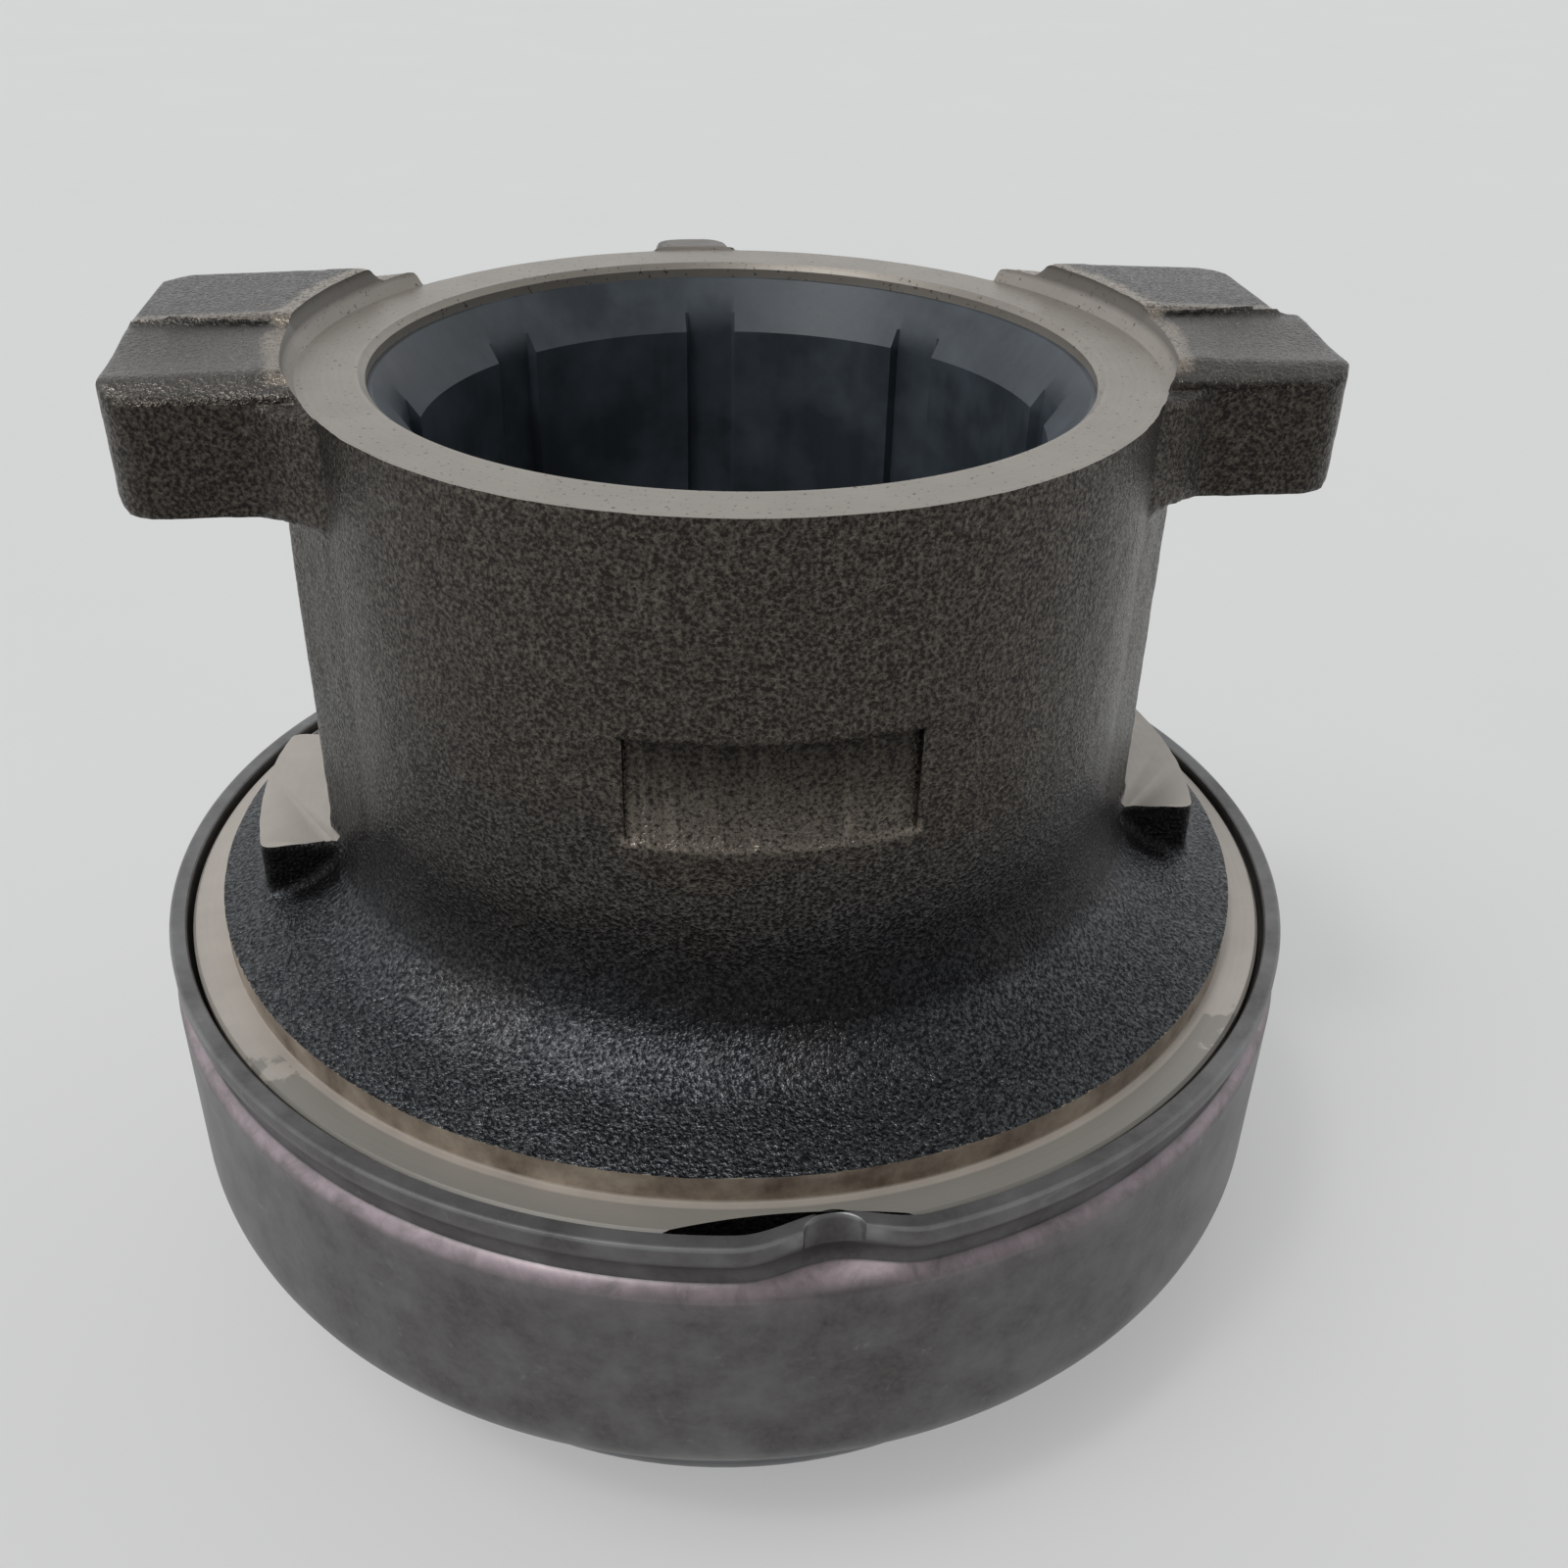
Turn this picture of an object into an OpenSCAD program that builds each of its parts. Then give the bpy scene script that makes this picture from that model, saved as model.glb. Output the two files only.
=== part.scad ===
// Clutch release bearing of a heavy road vehicle, standing on the face that meets the clutch fingers.
// A cast iron sleeve slides on the gearbox's guide tube and is pushed down by a fork on two pads.
// Its flange carries a pressed steel cover that holds a sealed angular contact ball bearing.
// The origin is on the bore's axis, at the contact face. The fork ears lie along X, the front is -Y.

/* [Guide bush] */
// Bore of the guide bush, a running fit on the guide tube
bore_d = 60; // [56:0.5:62]
// Wall of the guide bush
bush_wall = 4; // [3:0.25:5]
// Depth of the bush's top below the sleeve's rim
bush_drop = 1.5; // [0.5:0.25:4]
// Length of the lead-in cone
lead_len = 5; // [3:0.25:8]
// Wall left at the top of the lead-in cone
lead_lip = 0.5; // [0.3:0.1:1]
// Number of lengthwise dirt grooves in the bore
groove_count = 8; // [6:1:9]
// Width of a dirt groove
groove_w = 5; // [3:0.1:5.2]
// Depth of a dirt groove
groove_depth = 1; // [0.5:0.1:1.5]
// Radial gap between the bush and the sleeve that holds it
bush_fit = 0.02; // [0.01:0.01:0.05]

/* [Sleeve] */
// Wall of the cast barrel
sleeve_wall = 6; // [5:0.25:7]
// Height of the rim above the turned ring of the flange
sleeve_h = 55.5; // [50:0.5:62]
// Chamfer at the rim's inner edge
rim_chamfer = 0.6; // [0.2:0.1:1]
// Radius of the fillet between the barrel and the flare
flare_r = 11; // [8:0.5:12]
// Fall of the flare towards its edge, in degrees
flare_slope = 15; // [10:1:20]
// Height of the turned wall between the ring and the flare's edge
step_h = 2.75; // [2:0.25:4]
// Width of the turned ring
ring_w = 3.5; // [2.5:0.25:4]
// Thickness of the flange under the ring
flange_t = 7.5; // [6.5:0.25:9]
// Depth of the bare recessed panel on the front of the barrel
panel_depth = 0.4; // [0.2:0.05:0.6]
// Height of the recessed panel
panel_h = 9.5; // [6:0.5:12]
// Width of the recessed panel round the barrel, in degrees
panel_angle = 36; // [24:1:44]
// Height of the panel's middle below the rim
panel_drop = 24.3; // [20:0.1:28]

/* [Fork ears and pads] */
// How far an ear stands out from the barrel
ear_reach = 16.4; // [14:0.2:18]
// How much shorter the rear half of an ear is, where the mould halves meet
ear_short = 1; // [0.5:0.1:2]
// Shift of the two mould halves against each other along X
mould_shift = 1; // [0:0.1:1.5]
// How far the ears' parting line lies behind the bore's axis
ear_offset = 4.7; // [3:0.1:6]
// Depth of an ear in front of its parting line
ear_front = 16.6; // [14:0.2:18]
// Depth of an ear behind its parting line
ear_rear = 17.2; // [15:0.2:19]
// Thickness of an ear at its parting line
ear_t = 12.7; // [10:0.1:14]
// Height of an ear's front half above the rim
ear_rise = 2; // [1.5:0.1:4]
// Step up from an ear's front half to its rear half at the parting line
ear_step = 1; // [0.3:0.1:1.2]
// Fall of an ear's top towards its outer end, in degrees
ear_draft = 2; // [1:0.25:4]
// Radius of an ear's upright corners
ear_corner = 4.25; // [3:0.25:6]
// Radius along an ear's top front and rear edges
ear_round = 0.8; // [0.5:0.1:2]
// Chamfer along an ear's lower edges
ear_chamfer = 1.4; // [0.5:0.1:2]
// Fillet between an ear's front and the barrel
ear_fillet = 2; // [1:0.25:4]
// Fillet between an ear's rear and the barrel
ear_root = 7; // [4:0.25:8]
// Height of the turned flats of the pads above the ring
pad_h = 9.75; // [8:0.25:11]
// How far a pad stands out from the barrel
pad_reach = 9.6; // [9:0.2:11]
// Width of a pad along Y
pad_w = 23; // [20:0.5:26]
// How far the fork flats stand out from the barrel
flat_proud = 1.7; // [1.2:0.1:2.4]
// Width of the fork flats along Y
flat_w = 16; // [13:0.5:18]
// Fillet at the top and foot of the fork flats
flat_fillet = 1.5; // [0.8:0.1:2.5]
// How far the turned rim cuts into the ears beyond the barrel
face_over = 0.4; // [0.2:0.1:1]
// How far the turned wall above the rim leans out, up to the ears' highest part
wall_lean = 1.4; // [0.5:0.1:2]
// Width of the rear lug
lug_w = 8.4; // [6:0.2:10]
// How far the rear lug lies off the middle, towards -X
lug_offset = 1.2; // [0:0.1:2]
// How far the rear lug stands out from the barrel
lug_reach = 6; // [4:0.25:8]
// Height of the rear lug
lug_h = 11; // [8:0.5:14]

/* [Cover] */
// Outside diameter of the cover
cover_od = 120; // [118:0.5:124]
// Height of the cover
cover_h = 31.4; // [30:0.2:34]
// Sheet thickness of the cover
cover_t = 1.7; // [1.4:0.1:2]
// Outside radius of the cover's lower corner
cover_corner = 7; // [6:0.25:8]
// Height from the rim down to the rolled neck
neck_drop = 3; // [2.6:0.1:3.4]
// Height of the rounded shoulder under the neck
shoulder_h = 3.4; // [2.8:0.1:4]
// Depth of the rolled neck
neck_depth = 1.1; // [0.95:0.05:1.25]
// How far the rim stays inside the wall
rim_tuck = 0.2; // [0:0.05:0.4]
// Chamfer round the rim
cover_chamfer = 0.5; // [0.2:0.1:0.8]
// Depth of the ring below the cover's rim
ring_sink = 0.6; // [0.2:0.1:1.2]
// Radial gap between the cover's rim and the flange
flange_gap = 0.75; // [0.6:0.05:0.85]
// Radial gap between the rolled neck and its groove in the flange
neck_gap = 0.3; // [0.2:0.05:0.4]
// Width of the stake's scallop in the ring
scallop_w = 21.6; // [18:0.2:24]
// Depth of the scallop at its middle
scallop_depth = 2.1; // [2:0.1:2.4]
// Height of the scallop below the ring
scallop_h = 5.5; // [5:0.25:6]
// Turn of the stake from the middle of the scallop, in degrees
stake_turn = 4.5; // [0:0.5:5]
// Width of the punch that staked the rim
stake_w = 6.4; // [5:0.2:8]
// How far the stake pushed the rim inwards
stake_in = 1.7; // [1:0.1:1.8]
// Height over which the stake fades out below the rim
stake_h = 5.2; // [4:0.2:6]

/* [Bearing] */
// Ball diameter
ball_d = 11; // [10:0.25:11.5]
// Number of balls
ball_count = 18; // [14:1:20]
// Gap between a ball and its races
race_gap = 0.1; // [0.05:0.01:0.15]
// Wall of the outer ring behind its ball groove
outer_wall = 4.25; // [3.5:0.25:4.75]
// Wall of the turning inner ring behind its ball groove
inner_wall = 4.25; // [3.5:0.25:5]
// How far the contact nose reaches past the balls' pitch circle
nose_over = 1.65; // [1:0.05:2.5]
// How far the contact nose stands out below the cover
nose_drop = 13.7; // [11:0.1:16]
// Height of the nose's collar
collar_h = 9.5; // [7:0.25:10]
// Radius of the nose's outer edge
nose_r = 3; // [2:0.25:6]
// Chamfer at the nose's bore
nose_chamfer = 2; // [1:0.25:3]
// Radial gap between the nose and the cover's hole
hole_gap = 1.2; // [0.8:0.1:1.6]
// Radial float of the outer ring in the cover
ring_float = 1.1; // [0.8:0.05:1.4]
// Distance from the pitch circle to the high shoulder that takes the thrust
shoulder_high = 1.5; // [1.3:0.05:1.8]
// Distance from the pitch circle to the low shoulder
shoulder_low = 3.8; // [3.2:0.1:4]
// Wall of the ball cage
cage_t = 2.4; // [2:0.05:2.4]
// Height of the ball cage
cage_h = 12.6; // [12.4:0.1:13]
// Gap between a ball and its pocket
pocket_gap = 0.25; // [0.15:0.05:0.3]
// Thickness of a seal
seal_t = 1.4; // [1:0.1:1.4]
// Gap between the ball cage and a seal
cage_gap = 0.4; // [0.3:0.05:0.5]
// Depth of the groove that holds a seal
seal_seat = 1.2; // [0.8:0.1:1.4]
// Gap between a seal's lip and the turning ring
lip_gap = 0.3; // [0.15:0.05:0.4]
// Free height between the outer ring and the flange, filled by the spring washer
spring_h = 2; // [1.8:0.1:2.4]
// Thickness of the spring washer
spring_t = 1; // [0.8:0.1:1.2]
// Width of the spring washer
spring_w = 6; // [5:0.25:6.5]
// How far the spring washer's edge lies inside the edge of the outer ring
spring_in = 1.2; // [0.6:0.1:1.8]
// Gap between the faces of pieces that bear on each other
seat_gap = 0.02; // [0.01:0.01:0.05]

/* [Hidden] */
$fn = 96;
arc_steps = 10;
eps = 0.01;
past = 5;
root_in = 3;
root_bite = 0.05;

bore_r = bore_d / 2;
bush_r = bore_r + bush_wall;
barrel_r = bush_r + sleeve_wall;

cover_r = cover_od / 2;
cover_in_r = cover_r - cover_t;
flange_r = cover_in_r - flange_gap;
ring_in_r = flange_r - ring_w;

cover_top_z = nose_drop + cover_h;
ring_z = cover_top_z - ring_sink;
flange_z = ring_z - flange_t;
step_z = ring_z + step_h;
rim_z = ring_z + sleeve_h;
pad_z = ring_z + pad_h;
ear_top_z = rim_z + ear_rise;
ear_rear_z = ear_top_z + ear_step;
ear_z = ear_top_z - ear_t;
neck_z = cover_top_z - neck_drop;
neck_groove_r = cover_in_r - neck_depth - neck_gap;

floor_z = nose_drop + cover_t;
race_top_z = flange_z - spring_h;
ball_z = (floor_z + race_top_z) / 2;
outer_r = cover_in_r - ring_float;
outer_chamfer = cover_corner - cover_t - ring_float;
groove_r = ball_d / 2 + race_gap;
pitch_r = outer_r - outer_wall - groove_r;
inner_r = pitch_r - groove_r - inner_wall;
nose_rad = pitch_r + nose_over;
seal_reach = cage_h / 2 + cage_gap;

scallop_chord_y = sqrt(pow(flange_r, 2) - pow(scallop_w / 2, 2));
scallop_rise = scallop_chord_y - (flange_r - scallop_depth);
scallop_r = (pow(scallop_w / 2, 2) + pow(scallop_rise, 2)) / (2 * scallop_rise);

iron = [0.17, 0.165, 0.16];
steel = [0.62, 0.62, 0.62];
dark_steel = [0.3, 0.31, 0.31];
bush_blue = [0.2, 0.23, 0.27];
seal_black = [0.08, 0.08, 0.08];
cage_tan = [0.45, 0.4, 0.3];

function two_digits(i) = i < 10 ? str("0", i) : str(i);
function ball_name(i) = str("ball_", two_digits(i));

BALLS = [for (i = [1:ball_count]) ball_name(i)];

// Points along an arc, from angle a0 to angle a1
function arc(cx, cy, r, a0, a1, steps = arc_steps) =
    [for (i = [0:steps]) let (a = a0 + (a1 - a0) * i / steps) [cx + r * cos(a), cy + r * sin(a)]];

// Unit vector square to the path at point i, on its left side
function path_normal(path, i) =
    let (
        before = path[max(i - 1, 0)],
        after = path[min(i + 1, len(path) - 1)],
        along = (after - before) / norm(after - before)
    )
    [-along[1], along[0]];

// Closed outline of a sheet of thickness t, on the left side of a path
function sheet_outline(path, t) = concat(
    path,
    [for (i = [len(path) - 1:-1:0]) path[i] + t * path_normal(path, i)]
);

// Ring between two radii and two heights
module band(r0, r1, z0, z1) {
    rotate_extrude()
        translate([r0, z0])
            square([r1 - r0, z1 - z0]);
}

// Rectangle in the XY plane with round corners, from x0 to x1 and w wide along Y
module round_plan(x0, x1, w, r) {
    translate([x0, -w / 2 + r])
        square([x1 - x0, w - 2 * r]);
    translate([x0, -w / 2])
        square([x1 - x0 - r, w]);
    for (side = [-1, 1])
        translate([x1 - r, side * (w / 2 - r)])
            circle(r = r);
}

// Does the children on both sides of the sleeve
module both_sides() {
    children();
    mirror([1, 0, 0])
        children();
}

// Lays an outline drawn as X and Z upright, w wide along Y
module upright_xz(w) {
    rotate([90, 0, 0])
        linear_extrude(w, center = true)
            children();
}

// Lays an outline drawn as Y and Z upright, reaching along X
module upright_yz(len) {
    rotate([90, 0, 90])
        linear_extrude(len)
            children();
}

// Turned body of the sleeve, from the bore out to the flange's edge
module sleeve_body() {
    fillet_end = 90 - flare_slope;
    cone_in_r = barrel_r + flare_r * (1 - cos(fillet_end));
    cone_fall = (ring_in_r - cone_in_r) * tan(flare_slope);
    fillet_z = step_z + cone_fall + flare_r * sin(fillet_end);
    rotate_extrude()
        polygon(concat(
            [[bush_r, flange_z], [flange_r, flange_z], [flange_r, ring_z]],
            [[ring_in_r, ring_z], [ring_in_r, step_z]],
            arc(barrel_r + flare_r, fillet_z, flare_r, 180 + fillet_end, 180),
            [[barrel_r, rim_z], [bush_r, rim_z]]
        ));
}

// Fillet of radius r between the barrel and an ear's upright face at y, drawn in plan
module ear_fillet_plan(y, r) {
    centre_y = y + r;
    centre_x = sqrt(pow(barrel_r + r - root_bite, 2) - pow(centre_y, 2));
    centre = [centre_x, centre_y];
    difference() {
        polygon([
            centre,
            [centre_x, y - root_in],
            [centre_x - 2 * root_in, y - root_in],
            centre * (barrel_r - root_in / 2) / norm(centre)
        ]);
        translate(centre)
            circle(r = r);
    }
}

// One half of an ear, from from_y to its face at to_y with the fillet r, out to out_x and up to top_z
module ear_half(from_y, to_y, r, out_x, top_z) {
    in_x = bush_r + root_in / 2;
    reach_y = to_y + 2 * r;
    root_z = top_z - 2 * ear_round;
    fall = (out_x - in_x) * tan(ear_draft);
    intersection() {
        translate([0, 0, ear_z])
            linear_extrude(top_z - ear_z)
                intersection() {
                    union() {
                        round_plan(in_x, out_x, 2 * to_y, ear_corner);
                        ear_fillet_plan(to_y, r);
                    }
                    translate([0, from_y])
                        square([out_x, reach_y - from_y]);
                }
        upright_yz(out_x)
            polygon(concat(
                [[from_y, ear_z], [reach_y, ear_z], [reach_y, root_z], [to_y, root_z]],
                arc(to_y - ear_round, top_z - ear_round, ear_round, 0, 90),
                [[from_y, top_z]]
            ));
        upright_xz(2 * reach_y)
            polygon([
                [in_x, ear_z],
                [out_x - ear_chamfer, ear_z],
                [out_x, ear_z + ear_chamfer],
                [out_x, top_z - fall],
                [in_x, top_z]
            ]);
    }
}

// Both ears, whose front and rear halves come from two mould halves that don't quite meet
module ears() {
    front_x = barrel_r + ear_reach;
    rear_x = front_x - ear_short;
    shift = [mould_shift / 2, -mould_shift / 2];
    for (side = [0, 1])
        mirror([side, 0, 0]) {
            mirror([0, 1, 0])
                ear_half(-ear_offset, ear_front - ear_offset, ear_fillet, front_x + shift[side], ear_top_z);
            ear_half(ear_offset, ear_offset + ear_rear, ear_root, rear_x - shift[side], ear_rear_z);
        }
}

// Flat that guides the fork, with a fillet under the ear and another on the pad
module fork_flat() {
    flat_x = barrel_r + flat_proud;
    in_x = bush_r + root_in;
    centre_x = flat_x + flat_fillet;
    upright_xz(flat_w)
        polygon(concat(
            [[in_x, pad_z - root_in], [centre_x, pad_z - root_in]],
            arc(centre_x, pad_z + flat_fillet, flat_fillet, 270, 180),
            arc(centre_x, ear_z - flat_fillet, flat_fillet, 180, 90),
            [[centre_x, ear_z + root_in], [in_x, ear_z + root_in]]
        ));
}

// Pad on the flange that the fork pushes on, its outer wall round the bore's axis
module pad() {
    translate([0, 0, ring_z])
        linear_extrude(pad_h)
            intersection() {
                translate([bush_r + root_in, -pad_w / 2])
                    square([barrel_r, pad_w]);
                circle(r = barrel_r + pad_reach);
            }
}

// Lug at the rear of the rim
module rear_lug() {
    translate([-lug_offset, 0, rim_z - lug_h])
        rotate(90)
            linear_extrude(lug_h)
                round_plan(bush_r + root_in, barrel_r + lug_reach, lug_w, lug_w / 4);
}

// What the lathe takes off the rim and the ears round it
module rim_turning() {
    face_r = barrel_r + face_over;
    top_z = ear_rear_z + past;
    rotate_extrude()
        polygon([
            [0, rim_z],
            [face_r, rim_z],
            [face_r + wall_lean, ear_rear_z],
            [face_r + wall_lean, top_z],
            [0, top_z]
        ]);
}

// Bore for the bush, with the chamfer at the rim
module sleeve_bore() {
    translate([0, 0, flange_z - past])
        cylinder(r = bush_r, h = rim_z - flange_z + 2 * past);
    translate([0, 0, rim_z - rim_chamfer])
        cylinder(r1 = bush_r, r2 = bush_r + 2 * rim_chamfer, h = 2 * rim_chamfer);
}

// Groove in the flange's edge that the cover's neck is rolled into
module neck_groove() {
    band(neck_groove_r, flange_r + past, neck_z - shoulder_h / 2, neck_z + neck_drop / 3);
}

// Scallop in the ring that leaves room for the staked rim
module scallop() {
    translate([0, -(flange_r - scallop_depth + scallop_r), ring_z - scallop_h])
        cylinder(r = scallop_r, h = scallop_h + step_h / 2);
}

// Bare recessed panel on the barrel's front
module front_panel() {
    rotate(-90 - panel_angle / 2)
        rotate_extrude(angle = panel_angle)
            translate([barrel_r - panel_depth, rim_z - panel_drop - panel_h / 2])
                square([panel_depth + past, panel_h]);
}

// Cast iron sleeve with fork ears, pads, flats, flange and lug
module release_sleeve() {
    color(iron)
        difference() {
            union() {
                sleeve_body();
                ears();
                both_sides() {
                    fork_flat();
                    pad();
                }
                rear_lug();
            }
            rim_turning();
            sleeve_bore();
            neck_groove();
            scallop();
            front_panel();
        }
}

// Moulded bush that slides on the guide tube
module guide_bush() {
    out_r = bush_r - bush_fit;
    top_z = rim_z - bush_drop;
    color(bush_blue)
        difference() {
            rotate_extrude()
                polygon([
                    [bore_r, flange_z],
                    [out_r, flange_z],
                    [out_r, top_z],
                    [out_r - lead_lip, top_z],
                    [bore_r, top_z - lead_len]
                ]);
            for (i = [0:groove_count - 1])
                rotate(90 + i * 360 / groove_count)
                    translate([0, -groove_w / 2, flange_z - past])
                        cube([bore_r + groove_depth, groove_w, top_z - flange_z + 2 * past]);
        }
}

// Section of the cover's sheet: lower lip, corner, wall and rolled neck
module cover_section() {
    hole_r = nose_rad + hole_gap;
    rim_out_r = cover_r - rim_tuck;
    wall = concat(
        [[hole_r, nose_drop]],
        arc(cover_r - cover_corner, nose_drop + cover_corner, cover_corner, -90, 0),
        [for (i = [0:arc_steps])
            let (u = i / arc_steps)
            [cover_r - neck_depth * (1 - cos(90 * u)), neck_z - shoulder_h * (1 - u)]],
        [[rim_out_r, cover_top_z - neck_drop / 3], [rim_out_r, cover_top_z]]
    );
    difference() {
        polygon(sheet_outline(wall, cover_t));
        polygon([
            [rim_out_r - cover_chamfer, cover_top_z + eps],
            [rim_out_r + eps, cover_top_z + eps],
            [rim_out_r + eps, cover_top_z - cover_chamfer]
        ]);
    }
}

// Leaning punch that staked the rim, r round, its foot fading out of the wall
module stake_punch(r) {
    lean = atan(stake_in / stake_h);
    rotate(stake_turn)
        translate([0, -(cover_r - stake_in + stake_w / 2), cover_top_z])
            rotate([-lean, 0, 0])
                translate([0, 0, -stake_h - past])
                    cylinder(r = r, h = stake_h + 2 * past);
}

// Pressed cover, rolled into the flange's groove and staked at the front
module bearing_cover() {
    color(dark_steel)
        difference() {
            union() {
                rotate_extrude()
                    cover_section();
                intersection() {
                    stake_punch(stake_w / 2 + cover_t);
                    band(flange_r - scallop_depth, cover_r - cover_t / 2,
                        cover_top_z - stake_h, cover_top_z);
                }
            }
            stake_punch(stake_w / 2);
        }
}

// Conical spring washer that presses the outer ring onto the cover's lip
module spring_washer() {
    out_r = outer_r - spring_in;
    in_r = out_r - spring_w;
    low_z = race_top_z + seat_gap;
    rise = spring_h - spring_t - 2 * seat_gap;
    color(steel)
        rotate_extrude()
            polygon([
                [in_r, low_z],
                [out_r, low_z + rise],
                [out_r, low_z + rise + spring_t],
                [in_r, low_z + spring_t]
            ]);
}

// Groove that the balls run in, cut from either ring
module ball_track() {
    rotate_extrude()
        translate([pitch_r, ball_z])
            circle(r = groove_r);
}

// Grooves that hold the two seals
module seal_grooves() {
    low_r = pitch_r + shoulder_low + seal_seat;
    high_r = pitch_r + shoulder_high + seal_seat;
    band(pitch_r, low_r, ball_z - seal_reach - seal_t, ball_z - seal_reach);
    band(pitch_r, high_r, ball_z + seal_reach, ball_z + seal_reach + seal_t);
}

// Fixed outer ring: low shoulder at the nose end, high shoulder at the flange end
module outer_ring() {
    low_r = pitch_r + shoulder_low;
    high_r = pitch_r + shoulder_high;
    color(steel)
        difference() {
            rotate_extrude()
                polygon([
                    [low_r, floor_z],
                    [outer_r - outer_chamfer, floor_z],
                    [outer_r, floor_z + outer_chamfer],
                    [outer_r, race_top_z],
                    [high_r, race_top_z],
                    [high_r, ball_z],
                    [low_r, ball_z]
                ]);
            ball_track();
            seal_grooves();
        }
}

// Turning inner ring, with the nose that meets the clutch fingers
module inner_ring() {
    high_r = pitch_r - shoulder_high;
    low_r = pitch_r - shoulder_low;
    color(steel)
        difference() {
            rotate_extrude()
                polygon(concat(
                    [[inner_r, nose_chamfer], [inner_r + nose_chamfer, 0]],
                    arc(nose_rad - nose_r, nose_r, nose_r, -90, 0),
                    [[nose_rad, collar_h], [high_r, collar_h]],
                    [[high_r, ball_z], [low_r, ball_z]],
                    [[low_r, race_top_z], [inner_r, race_top_z]]
                ));
            ball_track();
        }
}

// Cage that spaces the balls
module ball_cage() {
    color(cage_tan)
        difference() {
            band(pitch_r - cage_t / 2, pitch_r + cage_t / 2, ball_z - cage_h / 2, ball_z + cage_h / 2);
            for (i = [1:ball_count])
                at_ball(i)
                    sphere(d = ball_d + 2 * pocket_gap);
        }
}

// Moves the children to the place of ball i
module at_ball(i) {
    rotate((i - 1) * 360 / ball_count)
        translate([pitch_r, 0, ball_z])
            children();
}

// One ball
module ball(i) {
    color(steel)
        at_ball(i)
            sphere(d = ball_d);
}

// Seal at the nose end, seated in the outer ring's low shoulder
module front_seal() {
    low_z = ball_z - seal_reach - seal_t + seat_gap;
    seat_r = pitch_r + shoulder_low + seal_seat - seat_gap;
    lip_r = pitch_r - shoulder_high + lip_gap;
    color(seal_black)
        band(lip_r, seat_r, low_z, low_z + seal_t - 2 * seat_gap);
}

// Seal at the flange end, seated in the outer ring's high shoulder
module rear_seal() {
    low_z = ball_z + seal_reach + seat_gap;
    seat_r = pitch_r + shoulder_high + seal_seat - seat_gap;
    lip_r = pitch_r - shoulder_low + lip_gap;
    color(seal_black)
        band(lip_r, seat_r, low_z, low_z + seal_t - 2 * seat_gap);
}

release_sleeve();
guide_bush();
bearing_cover();
spring_washer();
outer_ring();
inner_ring();
ball_cage();
front_seal();
rear_seal();
for (i = [1:ball_count])
    ball(i);
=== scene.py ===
# %% [markdown]
# # Dressing a clutch release bearing
# A heavy vehicle's clutch is let go by this part. A fork pushes its iron sleeve along a guide tube, and the
# nose of the ball bearing underneath presses on the turning fingers of the clutch. The solids, their places
# and their joints come ready from CAD. This lesson adds what the eye sees: the sand-cast skin, the lathe's
# marks, the phosphated cover with its one staked dent, the moulded bush, light and a camera.

import math

import bmesh
import bpy
import numpy as np
from mathutils import Matrix, Vector


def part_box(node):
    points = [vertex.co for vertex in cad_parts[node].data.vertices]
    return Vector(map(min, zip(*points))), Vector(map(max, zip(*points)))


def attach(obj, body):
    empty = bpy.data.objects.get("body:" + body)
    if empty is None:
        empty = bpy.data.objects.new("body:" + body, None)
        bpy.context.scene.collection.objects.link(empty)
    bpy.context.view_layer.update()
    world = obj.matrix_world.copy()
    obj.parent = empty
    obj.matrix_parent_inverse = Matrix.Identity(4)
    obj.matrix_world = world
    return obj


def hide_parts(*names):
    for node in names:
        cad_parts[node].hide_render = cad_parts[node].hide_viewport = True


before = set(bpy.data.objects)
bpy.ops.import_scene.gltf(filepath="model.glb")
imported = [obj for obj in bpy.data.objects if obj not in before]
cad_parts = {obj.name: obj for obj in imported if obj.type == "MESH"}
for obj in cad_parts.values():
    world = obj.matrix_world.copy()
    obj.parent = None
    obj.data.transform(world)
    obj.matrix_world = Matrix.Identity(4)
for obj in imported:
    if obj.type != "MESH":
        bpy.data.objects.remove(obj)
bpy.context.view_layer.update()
MM = 0.001

# %% [markdown]
# ## Helpers for shapes
# Much of this part is turned on a lathe, so one helper makes a closed solid of revolution from a profile of
# radius and height, and another an upright prism from a plan. A third joins points and faces into a mesh, and
# the next freezes an object: it takes the result of its modifiers as the mesh and drops the modifiers. All
# lengths are in millimetres until a mesh is made.

# %% Shape helpers
def made_object(name, mesh):
    piece = bpy.data.objects.new(name, mesh)
    bpy.context.scene.collection.objects.link(piece)
    return piece


def mesh_of(name, points_mm, faces):
    mesh = bpy.data.meshes.new(name)
    mesh.from_pydata([tuple(p) for p in np.asarray(points_mm) * MM], [], faces)
    mesh.update()
    return mesh


def frozen(piece):
    graph = bpy.context.evaluated_depsgraph_get()
    mesh = bpy.data.meshes.new_from_object(piece.evaluated_get(graph))
    piece.modifiers.clear()
    piece.data = mesh
    return piece


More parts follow.
